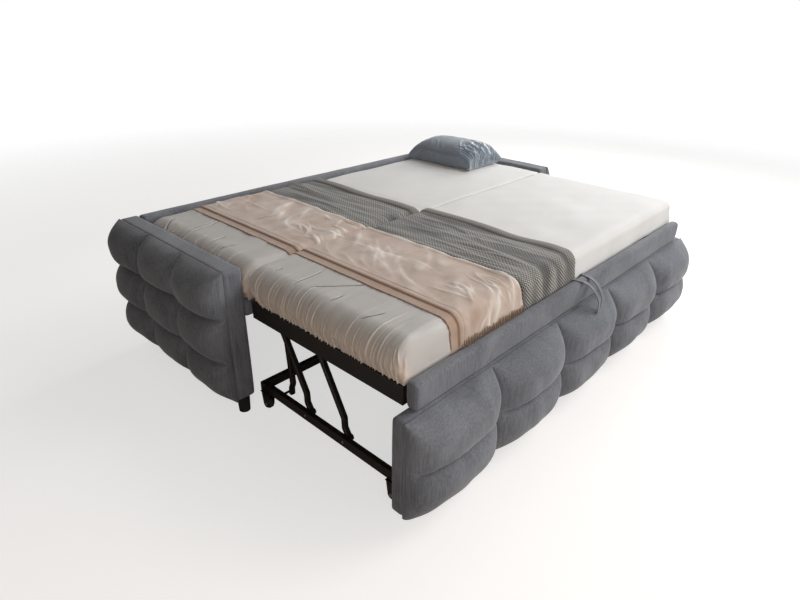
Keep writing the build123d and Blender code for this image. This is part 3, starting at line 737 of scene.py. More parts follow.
@dataclass(frozen=True)
class GatheredFinish:
    """Satin cloth with a painted highlight on its gathers and painted shade in its creases, where an
    attribute on the piece says so, and painted warm bounce light low on its foot face.
    """

    name: str
    # The crease colour is painted shade in the creases.
    crease: Colour
    # The warm colour is painted warm bounce light for the lower foot face.
    painted_bounce: Colour
    dark: Colour
    light: Colour
    # The ridge colour is a painted highlight on the gathers.
    ridge: Colour

    def build(self, effects: SharedEffects) -> bpy.types.Material:
        """Returns the material."""
        material, sheet, shader = principled(self.name)
        place = sheet.place()
        slub = sheet.noise(sheet.stretched(place, (4.0, 60.0, 4.0)), 1.0, 3.0)
        cloth = sheet.mixed(slub, self.dark, self.light)
        parts = sheet.add("ShaderNodeSeparateXYZ", {0: place})
        # Painted warm bounce light: the lower part of the foot face is mixed towards the warm colour.
        low = sheet.ranged(parts.outputs[2], 0.6, 0.53)
        end = sheet.ranged(parts.outputs[0], -0.95, -0.985)
        wear_and_bounce_light = sheet.mixed(sheet.sum("MULTIPLY", sheet.sum("MULTIPLY", low, end), 0.85), cloth, self.painted_bounce)
        # Painted highlight where the ridge attribute is high and painted shade where it is low.
        fold = sheet.stored("ridge")
        lit = sheet.mixed(sheet.ranged(fold, 0.3, 1.2, 0.0, 0.5), wear_and_bounce_light, self.ridge)
        shaded = sheet.mixed(sheet.ranged(fold, -0.12, -0.8, 0.0, 0.85), lit, self.crease)
        sheet.feed(shader, {
            "Base Color": shaded, "Roughness": sheet.ranged(slub, 0.3, 0.7, 0.42, 0.5),
            "Sheen Weight": 0.3, "Specular IOR Level": 0.5,
        })
        bumped(sheet, shader, fold, 0.35, 0.002)
        return material


@dataclass(frozen=True)
class PlushFinish:
    """Short plush with a painted highlight on its raised crests and painted shade in its low places, and a
    second colour where an attribute on the piece asks for it.
    """

    name: str
    dark: Colour
    light: Colour
    # The band colour is the hem's brown, and it also paints the shade in the low places.
    band: Colour
    # The raised colour is a painted highlight on the crests.
    crest_highlight: Colour

    def build(self, effects: SharedEffects) -> bpy.types.Material:
        """Returns the material."""
        material, sheet, shader = principled(self.name)
        place = sheet.place()
        pile = sheet.effect(effects.pile, place, {"Stroke Size": 9.0, "Hair Share": 0.2})
        nap = sheet.mixed(pile.outputs["Tone"], self.dark, self.light)
        fold = sheet.stored("fold")
        # Painted highlight on the highest crests, then painted shade in the band colour over the low places.
        crest_highlight = sheet.mixed(sheet.ranged(fold, 1.3, 1.9, 0.0, 0.8), nap, self.crest_highlight)
        plush = sheet.mixed(sheet.ranged(fold, 0.95, 0.6, 0.0, 0.4), crest_highlight, self.band)
        band = sheet.stored("band")
        sheet.feed(shader, {
            "Base Color": sheet.mixed(band, plush, self.band),
            "Roughness": sheet.ranged(pile.outputs["Tone"], 0, 1, 0.9, 0.75),
            "Sheen Weight": 0.5, "Sheen Roughness": 0.4, "Specular IOR Level": 0.2,
        })
        bumped(sheet, shader, pile.outputs["Height"], 0.3, 0.001)
        return material


@dataclass(frozen=True)
class KnitFinish:
    """Two-yarn checked knit that follows the flat cloth, with painted shade in the low places between its
    folds.
    """

    name: str
    dark: Colour
    light: Colour
    wear_and_bounce_light: Colour
    top_tone: Colour

    def build(self, effects: SharedEffects) -> bpy.types.Material:
        """Returns the material."""
        material, sheet, shader = principled(self.name)
        flat = sheet.add("ShaderNodeTexCoord").outputs["UV"]
        knit = sheet.effect(effects.dogtooth, flat)
        yarns = sheet.mixed(knit.outputs["Tone"], self.dark, self.light)
        band = sheet.stored("band")
        tinted = sheet.mixed(sheet.sum("MULTIPLY", band, 0.85), yarns, self.wear_and_bounce_light)
        fuzz = sheet.noise(flat, 60.0, 4.0)
        # A flatter, darker grey on faces that look up.
        upward = sheet.stored("upward")
        toned_on_top = sheet.mixed(sheet.sum("MULTIPLY", upward, 0.62), tinted, self.top_tone)
        matted = sheet.mixed(sheet.ranged(fuzz, 0.35, 0.8, 0.0, 0.2), toned_on_top, self.wear_and_bounce_light)
        # Painted shade in the low places between the folds.
        fold = sheet.stored("fold")
        fold_shade = sheet.ranged(fold, 0.4, 0.0, 0.0, 0.7)
        sheet.feed(shader, {
            "Base Color": sheet.mixed(fold_shade, matted, self.dark),
            "Roughness": sheet.ranged(knit.outputs["Tone"], 0, 1, 0.9, 0.7), "Sheen Weight": 0.3,
        })
        bumped(sheet, shader, knit.outputs["Height"], 0.5, 0.0012)
        return material


@dataclass(frozen=True)
class SkinFinish:
    """Powder coat or moulded plastic."""

    name: str
    base: Colour
    scuffed: Colour
    metallic: float
    roughness: float
    grain_size: float = 500.0

    def build(self, effects: SharedEffects) -> bpy.types.Material:
        """Returns the material."""
        material, sheet, shader = principled(self.name)
        place = sheet.place()
        skin = sheet.effect(effects.orange_peel, place, {"Grain Size": self.grain_size})
        scuff = skin.outputs["Scuff"]
        sheet.feed(shader, {
            "Base Color": sheet.mixed(scuff, self.base, self.scuffed),
            "Roughness": sheet.ranged(scuff, 0, 1, self.roughness, self.roughness + 0.2),
            "Metallic": self.metallic,
        })
        bumped(sheet, shader, skin.outputs["Height"], 0.2, 0.0003)
        return material


@dataclass(frozen=True)
class TimberFinish:
    """Planed or sawn wood whose grain runs along one axis."""

    name: str
    early: Colour
    late: Colour
    grain: tuple[float, float, float]

    def build(self, effects: SharedEffects) -> bpy.types.Material:
        """Returns the material."""
        material, sheet, shader = principled(self.name)
        place = sheet.place()
        rings = sheet.noise(sheet.stretched(place, self.grain), 1.0, 5.0, 0.6)
        fibre = sheet.noise(sheet.stretched(place, tuple(12 * share for share in self.grain)), 1.0, 2.0)
        tone = sheet.sum("MULTIPLY_ADD", fibre, 0.35, sheet.sum("MULTIPLY", rings, 0.7))
        share = sheet.ranged(tone, 0.35, 0.7)
        sheet.feed(shader, {
            "Base Color": sheet.mixed(share, self.early, self.late),
            "Roughness": sheet.ranged(fibre, 0.3, 0.7, 0.45, 0.62),
        })
        bumped(sheet, shader, fibre, 0.2, 0.0005)
        return material


class Finish(Enum):
    """Every finish on the daybed."""

    VELVET = VelvetFinish("grey_blue_velvet", (0.1, 0.103, 0.116), (0.262, 0.267, 0.288))
    WELT = VelvetFinish("welt_velvet", (0.17, 0.178, 0.2), (0.24, 0.25, 0.275))
    TICKING = WovenFinish("white_ticking", (0.76, 0.735, 0.695), (0.88, 0.855, 0.82), 900.0, 0.75, 0.2, 0.2)
    # Satin colours in order: painted crease shade, painted warm bounce light, cloth dark, cloth light,
    # painted ridge highlight.
    SATIN = GatheredFinish(
        "pleated_satin", (0.16, 0.14, 0.125), (0.74, 0.585, 0.475), (0.55, 0.51, 0.465),
        (0.645, 0.605, 0.565), (0.82, 0.74, 0.66),
    )
    # Plush colours in order: pile dark, pile light, hem brown that also paints shade, painted crest
    # highlight.
    PLUSH = PlushFinish(
        "beige_plush", (0.53, 0.39, 0.305), (0.69, 0.555, 0.465), (0.37, 0.22, 0.145), (0.88, 0.78, 0.7)
    )
    # The knit's dark yarn colour also paints the shade between its folds.
    KNIT = KnitFinish(
        "grey_dogtooth_knit", (0.014, 0.013, 0.012), (0.56, 0.515, 0.46), (0.225, 0.18, 0.135),
        (0.165, 0.162, 0.147),
    )
    PILLOW = WovenFinish("blue_grey_satin", (0.165, 0.2, 0.245), (0.28, 0.325, 0.38), 900.0, 0.34, 0.7, 0.7)
    WEBBING = WovenFinish("strap_webbing", (0.13, 0.14, 0.155), (0.24, 0.25, 0.27), 500.0, 0.5, 0.3, 0.4)
    FRINGE = WovenFinish("fringe_yarn", (0.16, 0.1, 0.06), (0.3, 0.2, 0.13), 400.0, 0.8, 0.2, 0.2)
    STEEL = SkinFinish("dark_powder_coat", (0.013, 0.0095, 0.0075), (0.024, 0.019, 0.016), 0.0, 0.38)
    ZINC = SkinFinish("zinc_plate", (0.5, 0.5, 0.51), (0.36, 0.36, 0.37), 0.9, 0.35)
    PLASTIC = SkinFinish("black_moulding", (0.014, 0.0135, 0.013), (0.03, 0.029, 0.028), 0.0, 0.5, 300.0)
    TREAD = SkinFinish("wheel_tread", (0.022, 0.022, 0.023), (0.07, 0.068, 0.065), 0.0, 0.62, 220.0)
    SLAT = TimberFinish("lacquered_birch", (0.66, 0.5, 0.32), (0.47, 0.32, 0.18), (60.0, 3.0, 60.0))
    BOARD = TimberFinish("sawn_pine", (0.6, 0.44, 0.27), (0.4, 0.26, 0.14), (2.5, 40.0, 40.0))


class Wardrobe:
    """Keeps each finish's material and puts it on pieces."""

    def __init__(self, effects: SharedEffects) -> None:
        """Builds every finish once."""
        self.materials = {finish: finish.value.build(effects) for finish in Finish}

    def dress(self, piece: Piece, finish: Finish) -> None:
        """Puts one finish all over a piece."""
        piece.data.materials.clear()
        piece.data.materials.append(self.materials[finish])


@dataclass
class Workshop:
    """What every sub-assembly needs while it is made."""

    wardrobe: Wardrobe

    def place(
        self, piece: Piece, body: str, finish: Finish, slot: str, replaces: Sequence[str] = ()
    ) -> Piece:
        """Dresses a finished piece, hangs it on its body and reports it.

        Args:
            piece: the finished piece.
            body: the body it moves with.
            finish: what it is covered with.
            slot: the record's material slot; not used.
            replaces: construction solids it stands for.

        Returns:
            The piece.
        """
        self.wardrobe.dress(piece, finish)
        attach(piece, body)
        if replaces:
            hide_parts(*replaces)
        log.info("%s: %d faces on %s", piece.name, len(piece.data.polygons), body)
        return piece


def corners_of(node: str) -> tuple[np.ndarray, np.ndarray]:
    """Returns the lowest and highest corner of a construction solid at rest."""
    low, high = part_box(node)
    return np.array(low), np.array(high)


# Upholstery


@dataclass
class PaddedBoard:
    """A board in a padded velvet cover, with a soft skin and rounded edges."""

    name: str
    node: str
    body: str
    radius: float = 0.015
    end_radius: float = 0.012
    step: float = 0.009
    softness: float = 0.0005
    seed: int = 3

    def make(self, shop: Workshop) -> Piece:
        """Makes and hangs the cover.

        Args:
            shop: where the piece is dressed.

        Returns:
            The cover.
        """
        low, high = corners_of(self.node)
        cloth = box_cloth([evenly(start, end, self.step) for start, end in zip(low, high)])
        block = Block(low, high, (self.end_radius, self.end_radius), (self.radius, self.radius), self.radius)
        places, out = block.rounded(cloth.points)
        dents = Ripple(self.seed, 0.15, 0.7).at(*places.T) * self.softness
        sag = Ripple(self.seed + 1, 0.012, 0.03).at(*places.T) * self.softness * 0.08
        cloth.points = places + out * (dents + sag)[:, None]
        cover = cloth.piece(self.name)
        shop.place(cover, self.body, Finish.VELVET, "velvet_upholstery", [self.node])
        return cover


@dataclass
class PuffGrid:
    """A panel face tufted into rows and columns of deep puffs."""

    name: str
    node: str
    body: str
    panel: str
    rows: tuple[Table, ...]
    row_shares: tuple[float, ...]
    columns: int
    plan_power: float
    plan_root: float
    outwards: tuple[int, int]
    across_points: int = 46
    row_points: int = 30
    seed: int = 11

    SEAM_HALF_GAP = 0.0003
    PUCKER = 0.0011
    SLACK = 0.0016

    def _column(self, index: int, half: float, depth: float, top: float, height: float) -> Cloth:
        """Makes one column of puffs round its own middle.

        Args:
            index: the column's number.
            half: half its width.
            depth: how far it stands out.
            top: height of its top edge.
            height: its height.

        Returns:
            The closed column: first coordinate across, second outwards, third up.
        """
        across = np.sin(np.linspace(-math.pi / 2, math.pi / 2, self.across_points))
        plan = (1 - np.abs(across) ** self.plan_power).clip(0) ** (1 / self.plan_root)
        rings_z, rings_out = [], []
        start = 0.0
        for table, share in zip(self.rows, self.row_shares):
            places = crowded(self.row_points)
            if rings_z:
                places = places[1:]
            rings_z += list(start + places * share)
            rings_out += list(through(table, places))
            start += share
        shares = np.array(rings_z)
        out = np.array(rings_out) * depth
        x = np.broadcast_to(across * half, (len(out), len(across)))
        z = np.broadcast_to((top - shares * height)[:, None], x.shape)
        bulge = out[:, None] * plan[None, :]
        seams = np.cumsum((0.0, *self.row_shares))
        near_seam = np.min([np.abs(shares - seam) for seam in seams[1:-1]], axis=0) * height
        pucker = Ripple(self.seed + 7 * index, 0.014, 0.045, 2)
        gather = np.exp(-near_seam / 0.022)[:, None] * np.exp(-((np.abs(across) / 0.8) ** 6))[None, :]
        broad = Ripple(self.seed + 7 * index + 3, 0.08, 0.3, 2)
        slack = self.PUCKER * pucker.at(x, z * 0.25) * gather + self.SLACK * broad.at(x, z)
        bulge = np.maximum(bulge + slack * np.minimum(1, bulge / 0.02), 0)
        front = np.stack([x, bulge, z], -1)
        last = front[-1].copy()
        under = [last * (1, share, 1) for share in (0.8, 0.4, 0.0)]
        front = np.concatenate([front, np.stack(under)])
        back = front.copy()
        back[..., 1] = 0
        return Cloth.joined([Cloth.grid(front), Cloth.grid(back, turned=True)]).sewn()

    def make(self, shop: Workshop) -> Piece:
        """Makes and hangs the whole grid.

        Args:
            shop: where the piece is dressed.

        Returns:
            The tufted face.
        """
        low, high = corners_of(self.node)
        panel_low, panel_high = corners_of(self.panel)
        axis = 0 if self.outwards[0] else 1
        run = 1 - axis
        sign = self.outwards[axis]
        base = panel_high[axis] if sign > 0 else panel_low[axis]
        depth = abs((high if sign > 0 else low)[axis] - base)
        width = (panel_high[run] - panel_low[run]) / self.columns
        half = width / 2 - self.SEAM_HALF_GAP
        parts = []
        for index in range(self.columns):
            column = self._column(index, half, depth, panel_high[2], panel_high[2] - panel_low[2])
            middle = panel_low[run] + width * (index + 0.5)
            points = np.zeros_like(column.points)
            points[:, run] = middle + column.points[:, 0]
            points[:, axis] = base + sign * column.points[:, 1]
            points[:, 2] = column.points[:, 2]
            parts.append(Cloth(points, column.faces))
        face = Cloth.joined(parts).piece(self.name)
        facing_out(face)
        shop.place(face, self.body, Finish.VELVET, "velvet_upholstery", [self.node])
        return face


END_ROWS: tuple[Table, ...] = (
    ((0.0, 0.0), (0.03, 0.22), (0.09, 0.46), (0.28, 0.84), (0.55, 1.0), (0.8, 0.9), (0.94, 0.62),
     (1.0, 0.35)),
    ((0.0, 0.35), (0.06, 0.6), (0.2, 0.88), (0.45, 1.0), (0.74, 0.92), (0.92, 0.64), (1.0, 0.35)),
    ((0.0, 0.35), (0.06, 0.58), (0.2, 0.8), (0.42, 0.87), (0.7, 0.7), (0.9, 0.36), (1.0, 0.11)),
)
FRONT_ROWS: tuple[Table, ...] = (
    ((0.0, 0.0), (0.03, 0.2), (0.09, 0.42), (0.28, 0.8), (0.58, 0.98), (0.82, 0.95), (0.95, 0.83),
     (1.0, 0.66)),
    ((0.0, 0.66), (0.04, 0.81), (0.16, 0.94), (0.42, 0.99), (0.7, 0.86), (0.9, 0.6), (1.0, 0.38)),
)


class Upholstery:
    """Panels, rails and tufted faces of the daybed and of its trundle."""

    WELT_RADIUS = 0.0016
    WELT_INSET = 0.003
    WELT_DEPTH = 0.0015
    WELT_CORNER = 0.008

    def make(self, shop: Workshop) -> None:
        """Makes all the upholstered pieces."""
        for seed, (side, sign) in enumerate((("foot", -1), ("head", 1))):
            PaddedBoard(
                side + "_panel_upholstery", side + "_panel_cover", "daybed_frame", seed=20 + seed
            ).make(shop)
            PuffGrid(
                side + "_panel_tufts", side + "_panel_puffs", "daybed_frame", side + "_panel_cover", END_ROWS,
                (1 / 3, 1 / 3, 1 / 3), 3, 3.2, 3.5, (sign, 0), seed=40 + 100 * seed,
            ).make(shop)
            self._welt(shop, side + "_panel", side + "_panel_cover", "daybed_frame", 0, sign)
        for name, cover, body, seed in (
            ("back_panel", "back_panel_cover", "daybed_frame", 31),
            ("front_rail", "front_rail_cover", "daybed_frame", 33),
            ("trundle_panel", "front_panel_cover", "trundle_base", 35),
        ):
            PaddedBoard(name + "_upholstery", cover, body, seed=seed).make(shop)
        PaddedBoard(
            "trundle_rail_upholstery", "top_rail_cover", "trundle_base",
            radius=0.018, end_radius=0.007, softness=0.0006, seed=37,
        ).make(shop)
        PuffGrid(
            "trundle_panel_tufts", "front_panel_puffs", "trundle_base", "front_panel_cover", FRONT_ROWS,
            (0.478, 0.522), 5, 3.0, 2.4, (0, -1), across_points=64, row_points=34, seed=60,
        ).make(shop)
        self._welt(shop, "trundle_panel", "front_panel_cover", "trundle_base", 1, -1)

    def _welt(self, shop: Workshop, name: str, cover: str, body: str, axis: int, sign: int) -> None:
        """Makes the welt round the tufted face of a panel, which looks along an axis by its sign."""
        low, high = corners_of(cover)
        run = 1 - axis
        inset = self.WELT_INSET
        near, far = low[run] + inset, high[run] - inset
        bottom, top = low[2] + inset, high[2] - inset
        ring = np.empty((4, 3))
        ring[:, axis] = (high if sign > 0 else low)[axis] - sign * self.WELT_DEPTH
        ring[:, [run, 2]] = [(near, bottom), (near, top), (far, top), (far, bottom)]
        welt = piping(name + "_welt", rounded_path(ring, self.WELT_CORNER, True), self.WELT_RADIUS, True)
        shop.place(welt, body, Finish.WELT, "velvet_upholstery")


# Bedding


@dataclass
class Strokes:
    """Short soft creases scattered over a flat cloth."""

    seed: int
    count: int
    u_span: tuple[float, float]
    v_span: tuple[float, float]
    heading: float
    spread: float
    length: tuple[float, float]
    width: tuple[float, float]
    height: float
    curl: float = 3.0

    def at(self, u: np.ndarray, v: np.ndarray) -> np.ndarray:
        """Returns how far the creases stand up at flat places."""
        draw = np.random.default_rng(self.seed)
        total = np.zeros(np.broadcast(u, v).shape)
        for _ in range(self.count):
            middle_u, middle_v = draw.uniform(*self.u_span), draw.uniform(*self.v_span)
            turn = self.heading + draw.normal() * self.spread
            reach, wide = draw.uniform(*self.length), draw.uniform(*self.width)
            along = (u - middle_u) * math.cos(turn) + (v - middle_v) * math.sin(turn)
            aside = -(u - middle_u) * math.sin(turn) + (v - middle_v) * math.cos(turn)
            aside = aside + draw.normal() * self.curl * along**2
            near = aside / wide
            ridge = np.exp(-(np.abs(np.where(near > 0, near, near * 2.2)) ** 1.6))
            total += draw.uniform(0.5, 1.0) * ridge * np.exp(-((along / reach) ** 2) * 2)
        return total * self.height


@dataclass
class Bed:
    """One mattress with its quilt and two throws.

    Front is towards -Y. On the main bed the seam between the two beds is at the front,
    on the trundle it is at the back.
    """

    name: str
    body: str
    seam_side: int
    seed: int
    low: np.ndarray = field(init=False)
    high: np.ndarray = field(init=False)
    block: Block = field(init=False)
    covered: Block = field(init=False)

    SEAM_CLEARANCE = 0.0002
    LAYER = 0.0012
    SPREAD = 0.0085
    TUCK = 0.013
    CORNER_TUCK = 0.034
    CORNER_SHIFT = 0.008
    QUILT_LIFT = 0.0042
    END_RADII = (0.078, 0.030)
    BASE_RADIUS = 0.007
    CORNER_POWER = 2.6
    GATHERED_LENGTH = 0.225
    PLEAT_PITCH = 0.0125
    PLEAT_HEIGHT = 0.0036
    SEAM_DROP = 0.055
    BACK_DROP = 0.03
    HEM_BELOW_RAIL = 0.012
    QUILT_THICKNESS = 0.003
    PLUSH_THICKNESS = 0.003
    KNIT_THICKNESS = 0.0035
    STRAND_SPACING = 0.0085
    STRAND_SIDES = 7
    CREASE_JITTER = (0.014, 0.035)
    CREASES = (
        ((0.205, 0.55), (0.07, 0.53)), ((0.205, 0.42), (0.06, 0.44)), ((0.14, 0.36), (0.05, 0.35)),
        ((0.12, 0.2), (0.05, 0.21)), ((0.1, 0.64), (0.045, 0.65)),
    )

    def __post_init__(self) -> None:
        """Reads where the mattress is."""
        self.low, self.high = corners_of(self.name + "_mattress")
        bare = (0.012, 0.042) if self.seam_side < 0 else (0.042, 0.012)
        under_cloth = (0.05, 0.042) if self.seam_side < 0 else (0.042, 0.022)
        self.block, self.covered = (
            Block(self.low, self.high, self.END_RADII, sides, self.BASE_RADIUS, self.CORNER_POWER)
            for sides in (bare, under_cloth)
        )

    def surface(self, square: np.ndarray) -> tuple[np.ndarray, np.ndarray]:
        """Returns the padding's surface, which spreads where it rests against the padded rail.

        Args:
            square: places on the skin of the mattress's square box.

        Returns:
            The places on the padding and the directions out of it.
        """
        places, out = self.block.rounded(square)
        cloth_places, cloth_out = self.covered.rounded(square)
        plain = eased(square[..., 0], -0.008, 0.035)[..., None]
        places = places * plain + cloth_places * (1 - plain)
        out = out * plain + cloth_out * (1 - plain)
        if self.seam_side > 0:
            pressed = 1 - eased(places[..., 2] - self.low[2], 0.012, 0.085)
            places[..., 1] -= self.SPREAD * pressed * np.maximum(-out[..., 1], 0)
        tucked = 1 - eased(places[..., 2] - self.low[2], 0.0, 0.05)
        places[..., 0] += self.TUCK * tucked * np.maximum(-out[..., 0], 0)
        if self.seam_side > 0:
            corner = eased(places[..., 1], self.high[1] - 0.09, self.high[1])
            corner = corner * (1 - eased(places[..., 0] - self.low[0], 0.0, 0.12))
            sinking = 1 - eased(places[..., 2] - self.low[2], 0.0, 0.1)
            places[..., 1] -= self.CORNER_TUCK * corner * sinking
            places[..., 0] += self.CORNER_SHIFT * corner * sinking
        return places, out

    def make(self, shop: Workshop) -> None:
        """Makes the mattress and everything on it."""
        self._mattress(shop)
        quilt = self._quilt(shop)
        self._beige(shop)
        self._grey(shop)

    def _kept_clear(self, points: np.ndarray, covers: int) -> np.ndarray:
        """Keeps padding on its own side of the seam, in front of the back panel and behind the rail.

        Args:
            points: places on the padding.
            covers: how many layers of cloth lie over it.

        Returns:
            The places, moved where they were too far out.
        """
        kept = points.copy()
        margin = self.SEAM_CLEARANCE + self.LAYER * covers
        if self.seam_side < 0:
            kept[..., 1] = np.maximum(kept[..., 1], self.low[1] + margin)
            kept[..., 1] = np.minimum(kept[..., 1], self.high[1] + 0.0008 - margin)
        else:
            kept[..., 1] = np.minimum(kept[..., 1], self.high[1] - margin)
            rail = corners_of("top_rail_cover")[1]
            above = kept[..., 2] - rail[2] - 0.003
            edge = 0.55 * np.maximum(above, 0) + 0.004 * eased(above, -0.013, -0.003)
            nearest = rail[1] + margin + 0.001 - edge
            kept[..., 1] = np.where(above < 0.03, np.maximum(kept[..., 1], nearest), kept[..., 1])
        return kept

    def _mattress(self, shop: Workshop) -> None:
        """Makes the mattress itself, tucked in a little where cloth covers it."""
        steps = (0.012, 0.01, 0.005)
        cloth = box_cloth([evenly(low, high, step) for low, high, step in zip(self.low, self.high, steps)])
        places, out = self.surface(cloth.points)
        soft = Ripple(self.seed, 0.12, 0.7).at(*places.T) * 0.0014
        level = (places[:, 2] - self.low[2]) / (self.high[2] - self.low[2])
        bulge = 0.002 * (1 - (2 * level - 1) ** 2) * (np.abs(out[:, 2]) < 0.5)
        covered = 0.0025 * eased(-places[:, 0], -0.01, 0.02)
        cloth.points = self._kept_clear(places + out * (soft + bulge - 0.001 - covered)[:, None], 2)
        mattress = cloth.piece(self.name + "_mattress_ticking")
        shop.place(mattress, self.body, Finish.TICKING, "mattress_fabric", [self.name + "_mattress"])

    def _pleats(
        self, foot: np.ndarray, across: np.ndarray, drop: np.ndarray
    ) -> tuple[np.ndarray, np.ndarray]:
        """Works out the quilt's gathers.

        Args:
            foot: distance from the foot end.
            across: distance from the front side.
            drop: distance below the top.

        Returns:
            How far the gathers stand out, and how close each place is to a ridge.
        """
        wrap = foot + np.maximum(0.122 - drop, 0)
        sway = 0.012 * Ripple(self.seed + 1, 0.3, 0.9, 2).at(wrap, across) * eased(wrap, 0.12, 0.34)
        slant = 0.09 * wrap * Ripple(self.seed + 8, 0.12, 0.5, 1).at(across) * (wrap < 0.35)
        turns = (across + sway + slant) / self.PLEAT_PITCH
        turns = turns + 0.35 * Ripple(self.seed + 2, 0.04, 0.2, 1).at(across)
        ridge = 1 - np.abs(np.cos(math.pi * turns)) ** 0.8
        strength = np.clip(0.8 + 0.6 * Ripple(self.seed + 3, 0.012, 0.035, 1).at(across), 0.1, 1.7)
        reach = 0.09 * np.clip(1 + 0.5 * Ripple(self.seed + 4, 0.015, 0.05, 1).at(across), 0.35, 2.2)
        far = 0.22 * np.clip(1 + 0.5 * Ripple(self.seed + 9, 0.015, 0.05, 1).at(across), 0.35, 1.7)
        fading = np.exp(-((wrap / reach) ** 2)) + 0.2 * np.exp(-((wrap / far) ** 3))
        lines = ridge * strength * fading
        broad = Ripple(self.seed + 10, 0.03, 0.11, 1).at(across + sway + slant)
        return self.PLEAT_HEIGHT * lines + 0.0011 * broad * np.exp(-((wrap / 0.2) ** 2)), lines

    def _quilt(self, shop: Workshop) -> Piece:
        """Makes the pleated quilt that wraps the foot half.

        Args:
            shop: where the piece is dressed.

        Returns:
            The quilt.
        """
        low, high = self.low.copy(), self.high.copy()
        low[2] += 0.002
        high[0] = corners_of(self.name + "_quilt")[1][0]
        covered_x = low[0] + self.GATHERED_LENGTH
        lines = (
            np.concatenate([evenly(low[0], covered_x, 0.0056)[:-1], evenly(covered_x, high[0], 0.03)]),
            evenly(low[1], high[1], 0.0017), evenly(low[2], high[2], 0.0050),
        )
        cloth = box_cloth(lines, ("+x", "-z"))
        places, out = self.surface(cloth.points)
        foot = cloth.points[:, 0] - self.low[0]
        across = cloth.points[:, 1] - self.low[1]
        drop = self.high[2] - cloth.points[:, 2]
        on_side = np.abs(out[:, 1]) * eased(foot, 0.0, 0.02)
        gathers, ridges = self._pleats(foot, across, drop)
        plain = 1 - eased(on_side, 0.45, 0.9)
        soft = Ripple(self.seed + 5, 0.09, 0.4).at(*places.T) * 0.0016
        creases = np.zeros_like(foot)
        draw = np.random.default_rng(self.seed + 11)
        jitter = draw.normal(size=(len(self.CREASES), 2, 2)) * self.CREASE_JITTER
        for start, end in np.array(self.CREASES) + jitter:
            run = (end[0] - start[0], end[1] - start[1])
            length = math.hypot(*run)
            along = ((foot - start[0]) * run[0] + (across - start[1]) * run[1]) / length**2
            aside = ((foot - start[0]) * run[1] - (across - start[1]) * run[0]) / length
            aside = aside - 0.012 * (along - 0.5) ** 2
            groove = np.exp(-((aside / 0.0032) ** 2)) - 0.2 * np.exp(-(((aside - 0.014) / 0.012) ** 2))
            creases += groove * eased(along, -0.15, 0.15) * (1 - eased(along, 0.8, 1.15))
        creases *= out[:, 2] > 0.2
        corner = 0.004 * np.exp(-((foot - 0.012) / 0.007) ** 2) * eased(drop, 0.02, 0.05)
        corner = corner * (np.abs(out[:, 1]) > 0.4)
        lift = self.QUILT_LIFT + gathers * plain + np.maximum(soft, -0.001) + corner - 0.0032 * creases
        covered = eased(foot, 0.205, 0.222)
        lift = lift * (1 - covered) + self.QUILT_LIFT * covered
        hem = (1 - eased(cloth.points[:, 2] - low[2], 0.0, 0.01)) * (foot < 0.02)
        places[:, 2] += hem * 0.0026 * (1 - np.minimum(ridges, 1)) * plain
        cloth.points = self._kept_clear(places + out * lift[:, None], 1)
        quilt = cloth.piece(self.name + "_pleated_quilt")
        # The ridge attribute paints a highlight on the pleat ridges and paints shade along the creases; it
        # also drives the bump.
        mark(quilt, "ridge", ridges * plain * (creases < 0.2) - 1.3 * creases)
        thicken(quilt, self.QUILT_THICKNESS)
        shop.place(quilt, self.body, Finish.SATIN, "quilt_satin", [self.name + "_quilt"])
        return quilt

    def _path(self, hem: float, count: int) -> tuple[np.ndarray, np.ndarray]:
        """Returns the way across the bed that a throw takes: up the front, over and down the back.

        Args:
            hem: how high the throw ends at its open side.
            count: number of points.

        Returns:
            The square places (y, z) along the way, and the length to each.
        """
        front_drop = self.high[2] - hem if self.seam_side > 0 else self.SEAM_DROP
        back_drop = self.SEAM_DROP if self.seam_side > 0 else self.BACK_DROP
        depth = self.high[1] - self.low[1]
        total = front_drop + depth + back_drop
        run = np.linspace(0, total, count)
        y = self.low[1] + np.clip(run - front_drop, 0, depth)
        z = self.high[2] - np.maximum(front_drop - run, 0) - np.maximum(run - front_drop - depth, 0)
        return np.stack([y, z], -1), run

    def _throw(
        self, name: str, x_span: tuple[float, float], hem: float,
        lift: FlatValue, band: FlatValue, edge: FlatValue, columns: int, thickness: float,
    ) -> Piece:
        """Makes a throw that lies across the bed.

        Args:
            name: the piece's name.
            x_span: its two ends along the bed.
            hem: height of its open end.
            lift: height over the mattress from the places along and across the throw.
            band: share of the second colour from the same places.
            edge: how far the ends wander along the bed.
            columns: number of points along the bed.
            thickness: thickness of the cloth.

        Returns:
            The throw.
        """
        way, run = self._path(hem, 190)
        shares = crowded(columns) * 0.35 + np.linspace(0, 1, columns) * 0.65
        along = shares * (x_span[1] - x_span[0])
        u, v = np.meshgrid(along, run, indexing="ij")
        square = np.empty(u.shape + (3,))
        square[..., 0] = x_span[0] + u + edge(u, v)
        square[..., 1], square[..., 2] = way[:, 0], way[:, 1]
        places, out = self.surface(square)
        height = lift(u, v)
        points = self._kept_clear(places + out * height[..., None], 0)
        cloth = Cloth.grid(points, np.stack([u, v], -1), turned=True)
        throw = cloth.piece(name)
        mark(throw, "band", band(u, v))
        # The fold attribute is the throw's height; from it the plush finish paints a highlight on the crests
        # and shade in the low places, and the knit finish paints shade in the low places.
        mark(throw, "fold", (height - 0.005) / 0.006)
        mark(throw, "upward", eased(out[..., 2], 0.35, 0.95))
        thicken(throw, thickness)
        return throw

    def _hem(self) -> float:
        """Returns the height at which the throws end in front, just behind the padded rail."""
        return corners_of("top_rail_cover")[1][2] - self.HEM_BELOW_RAIL

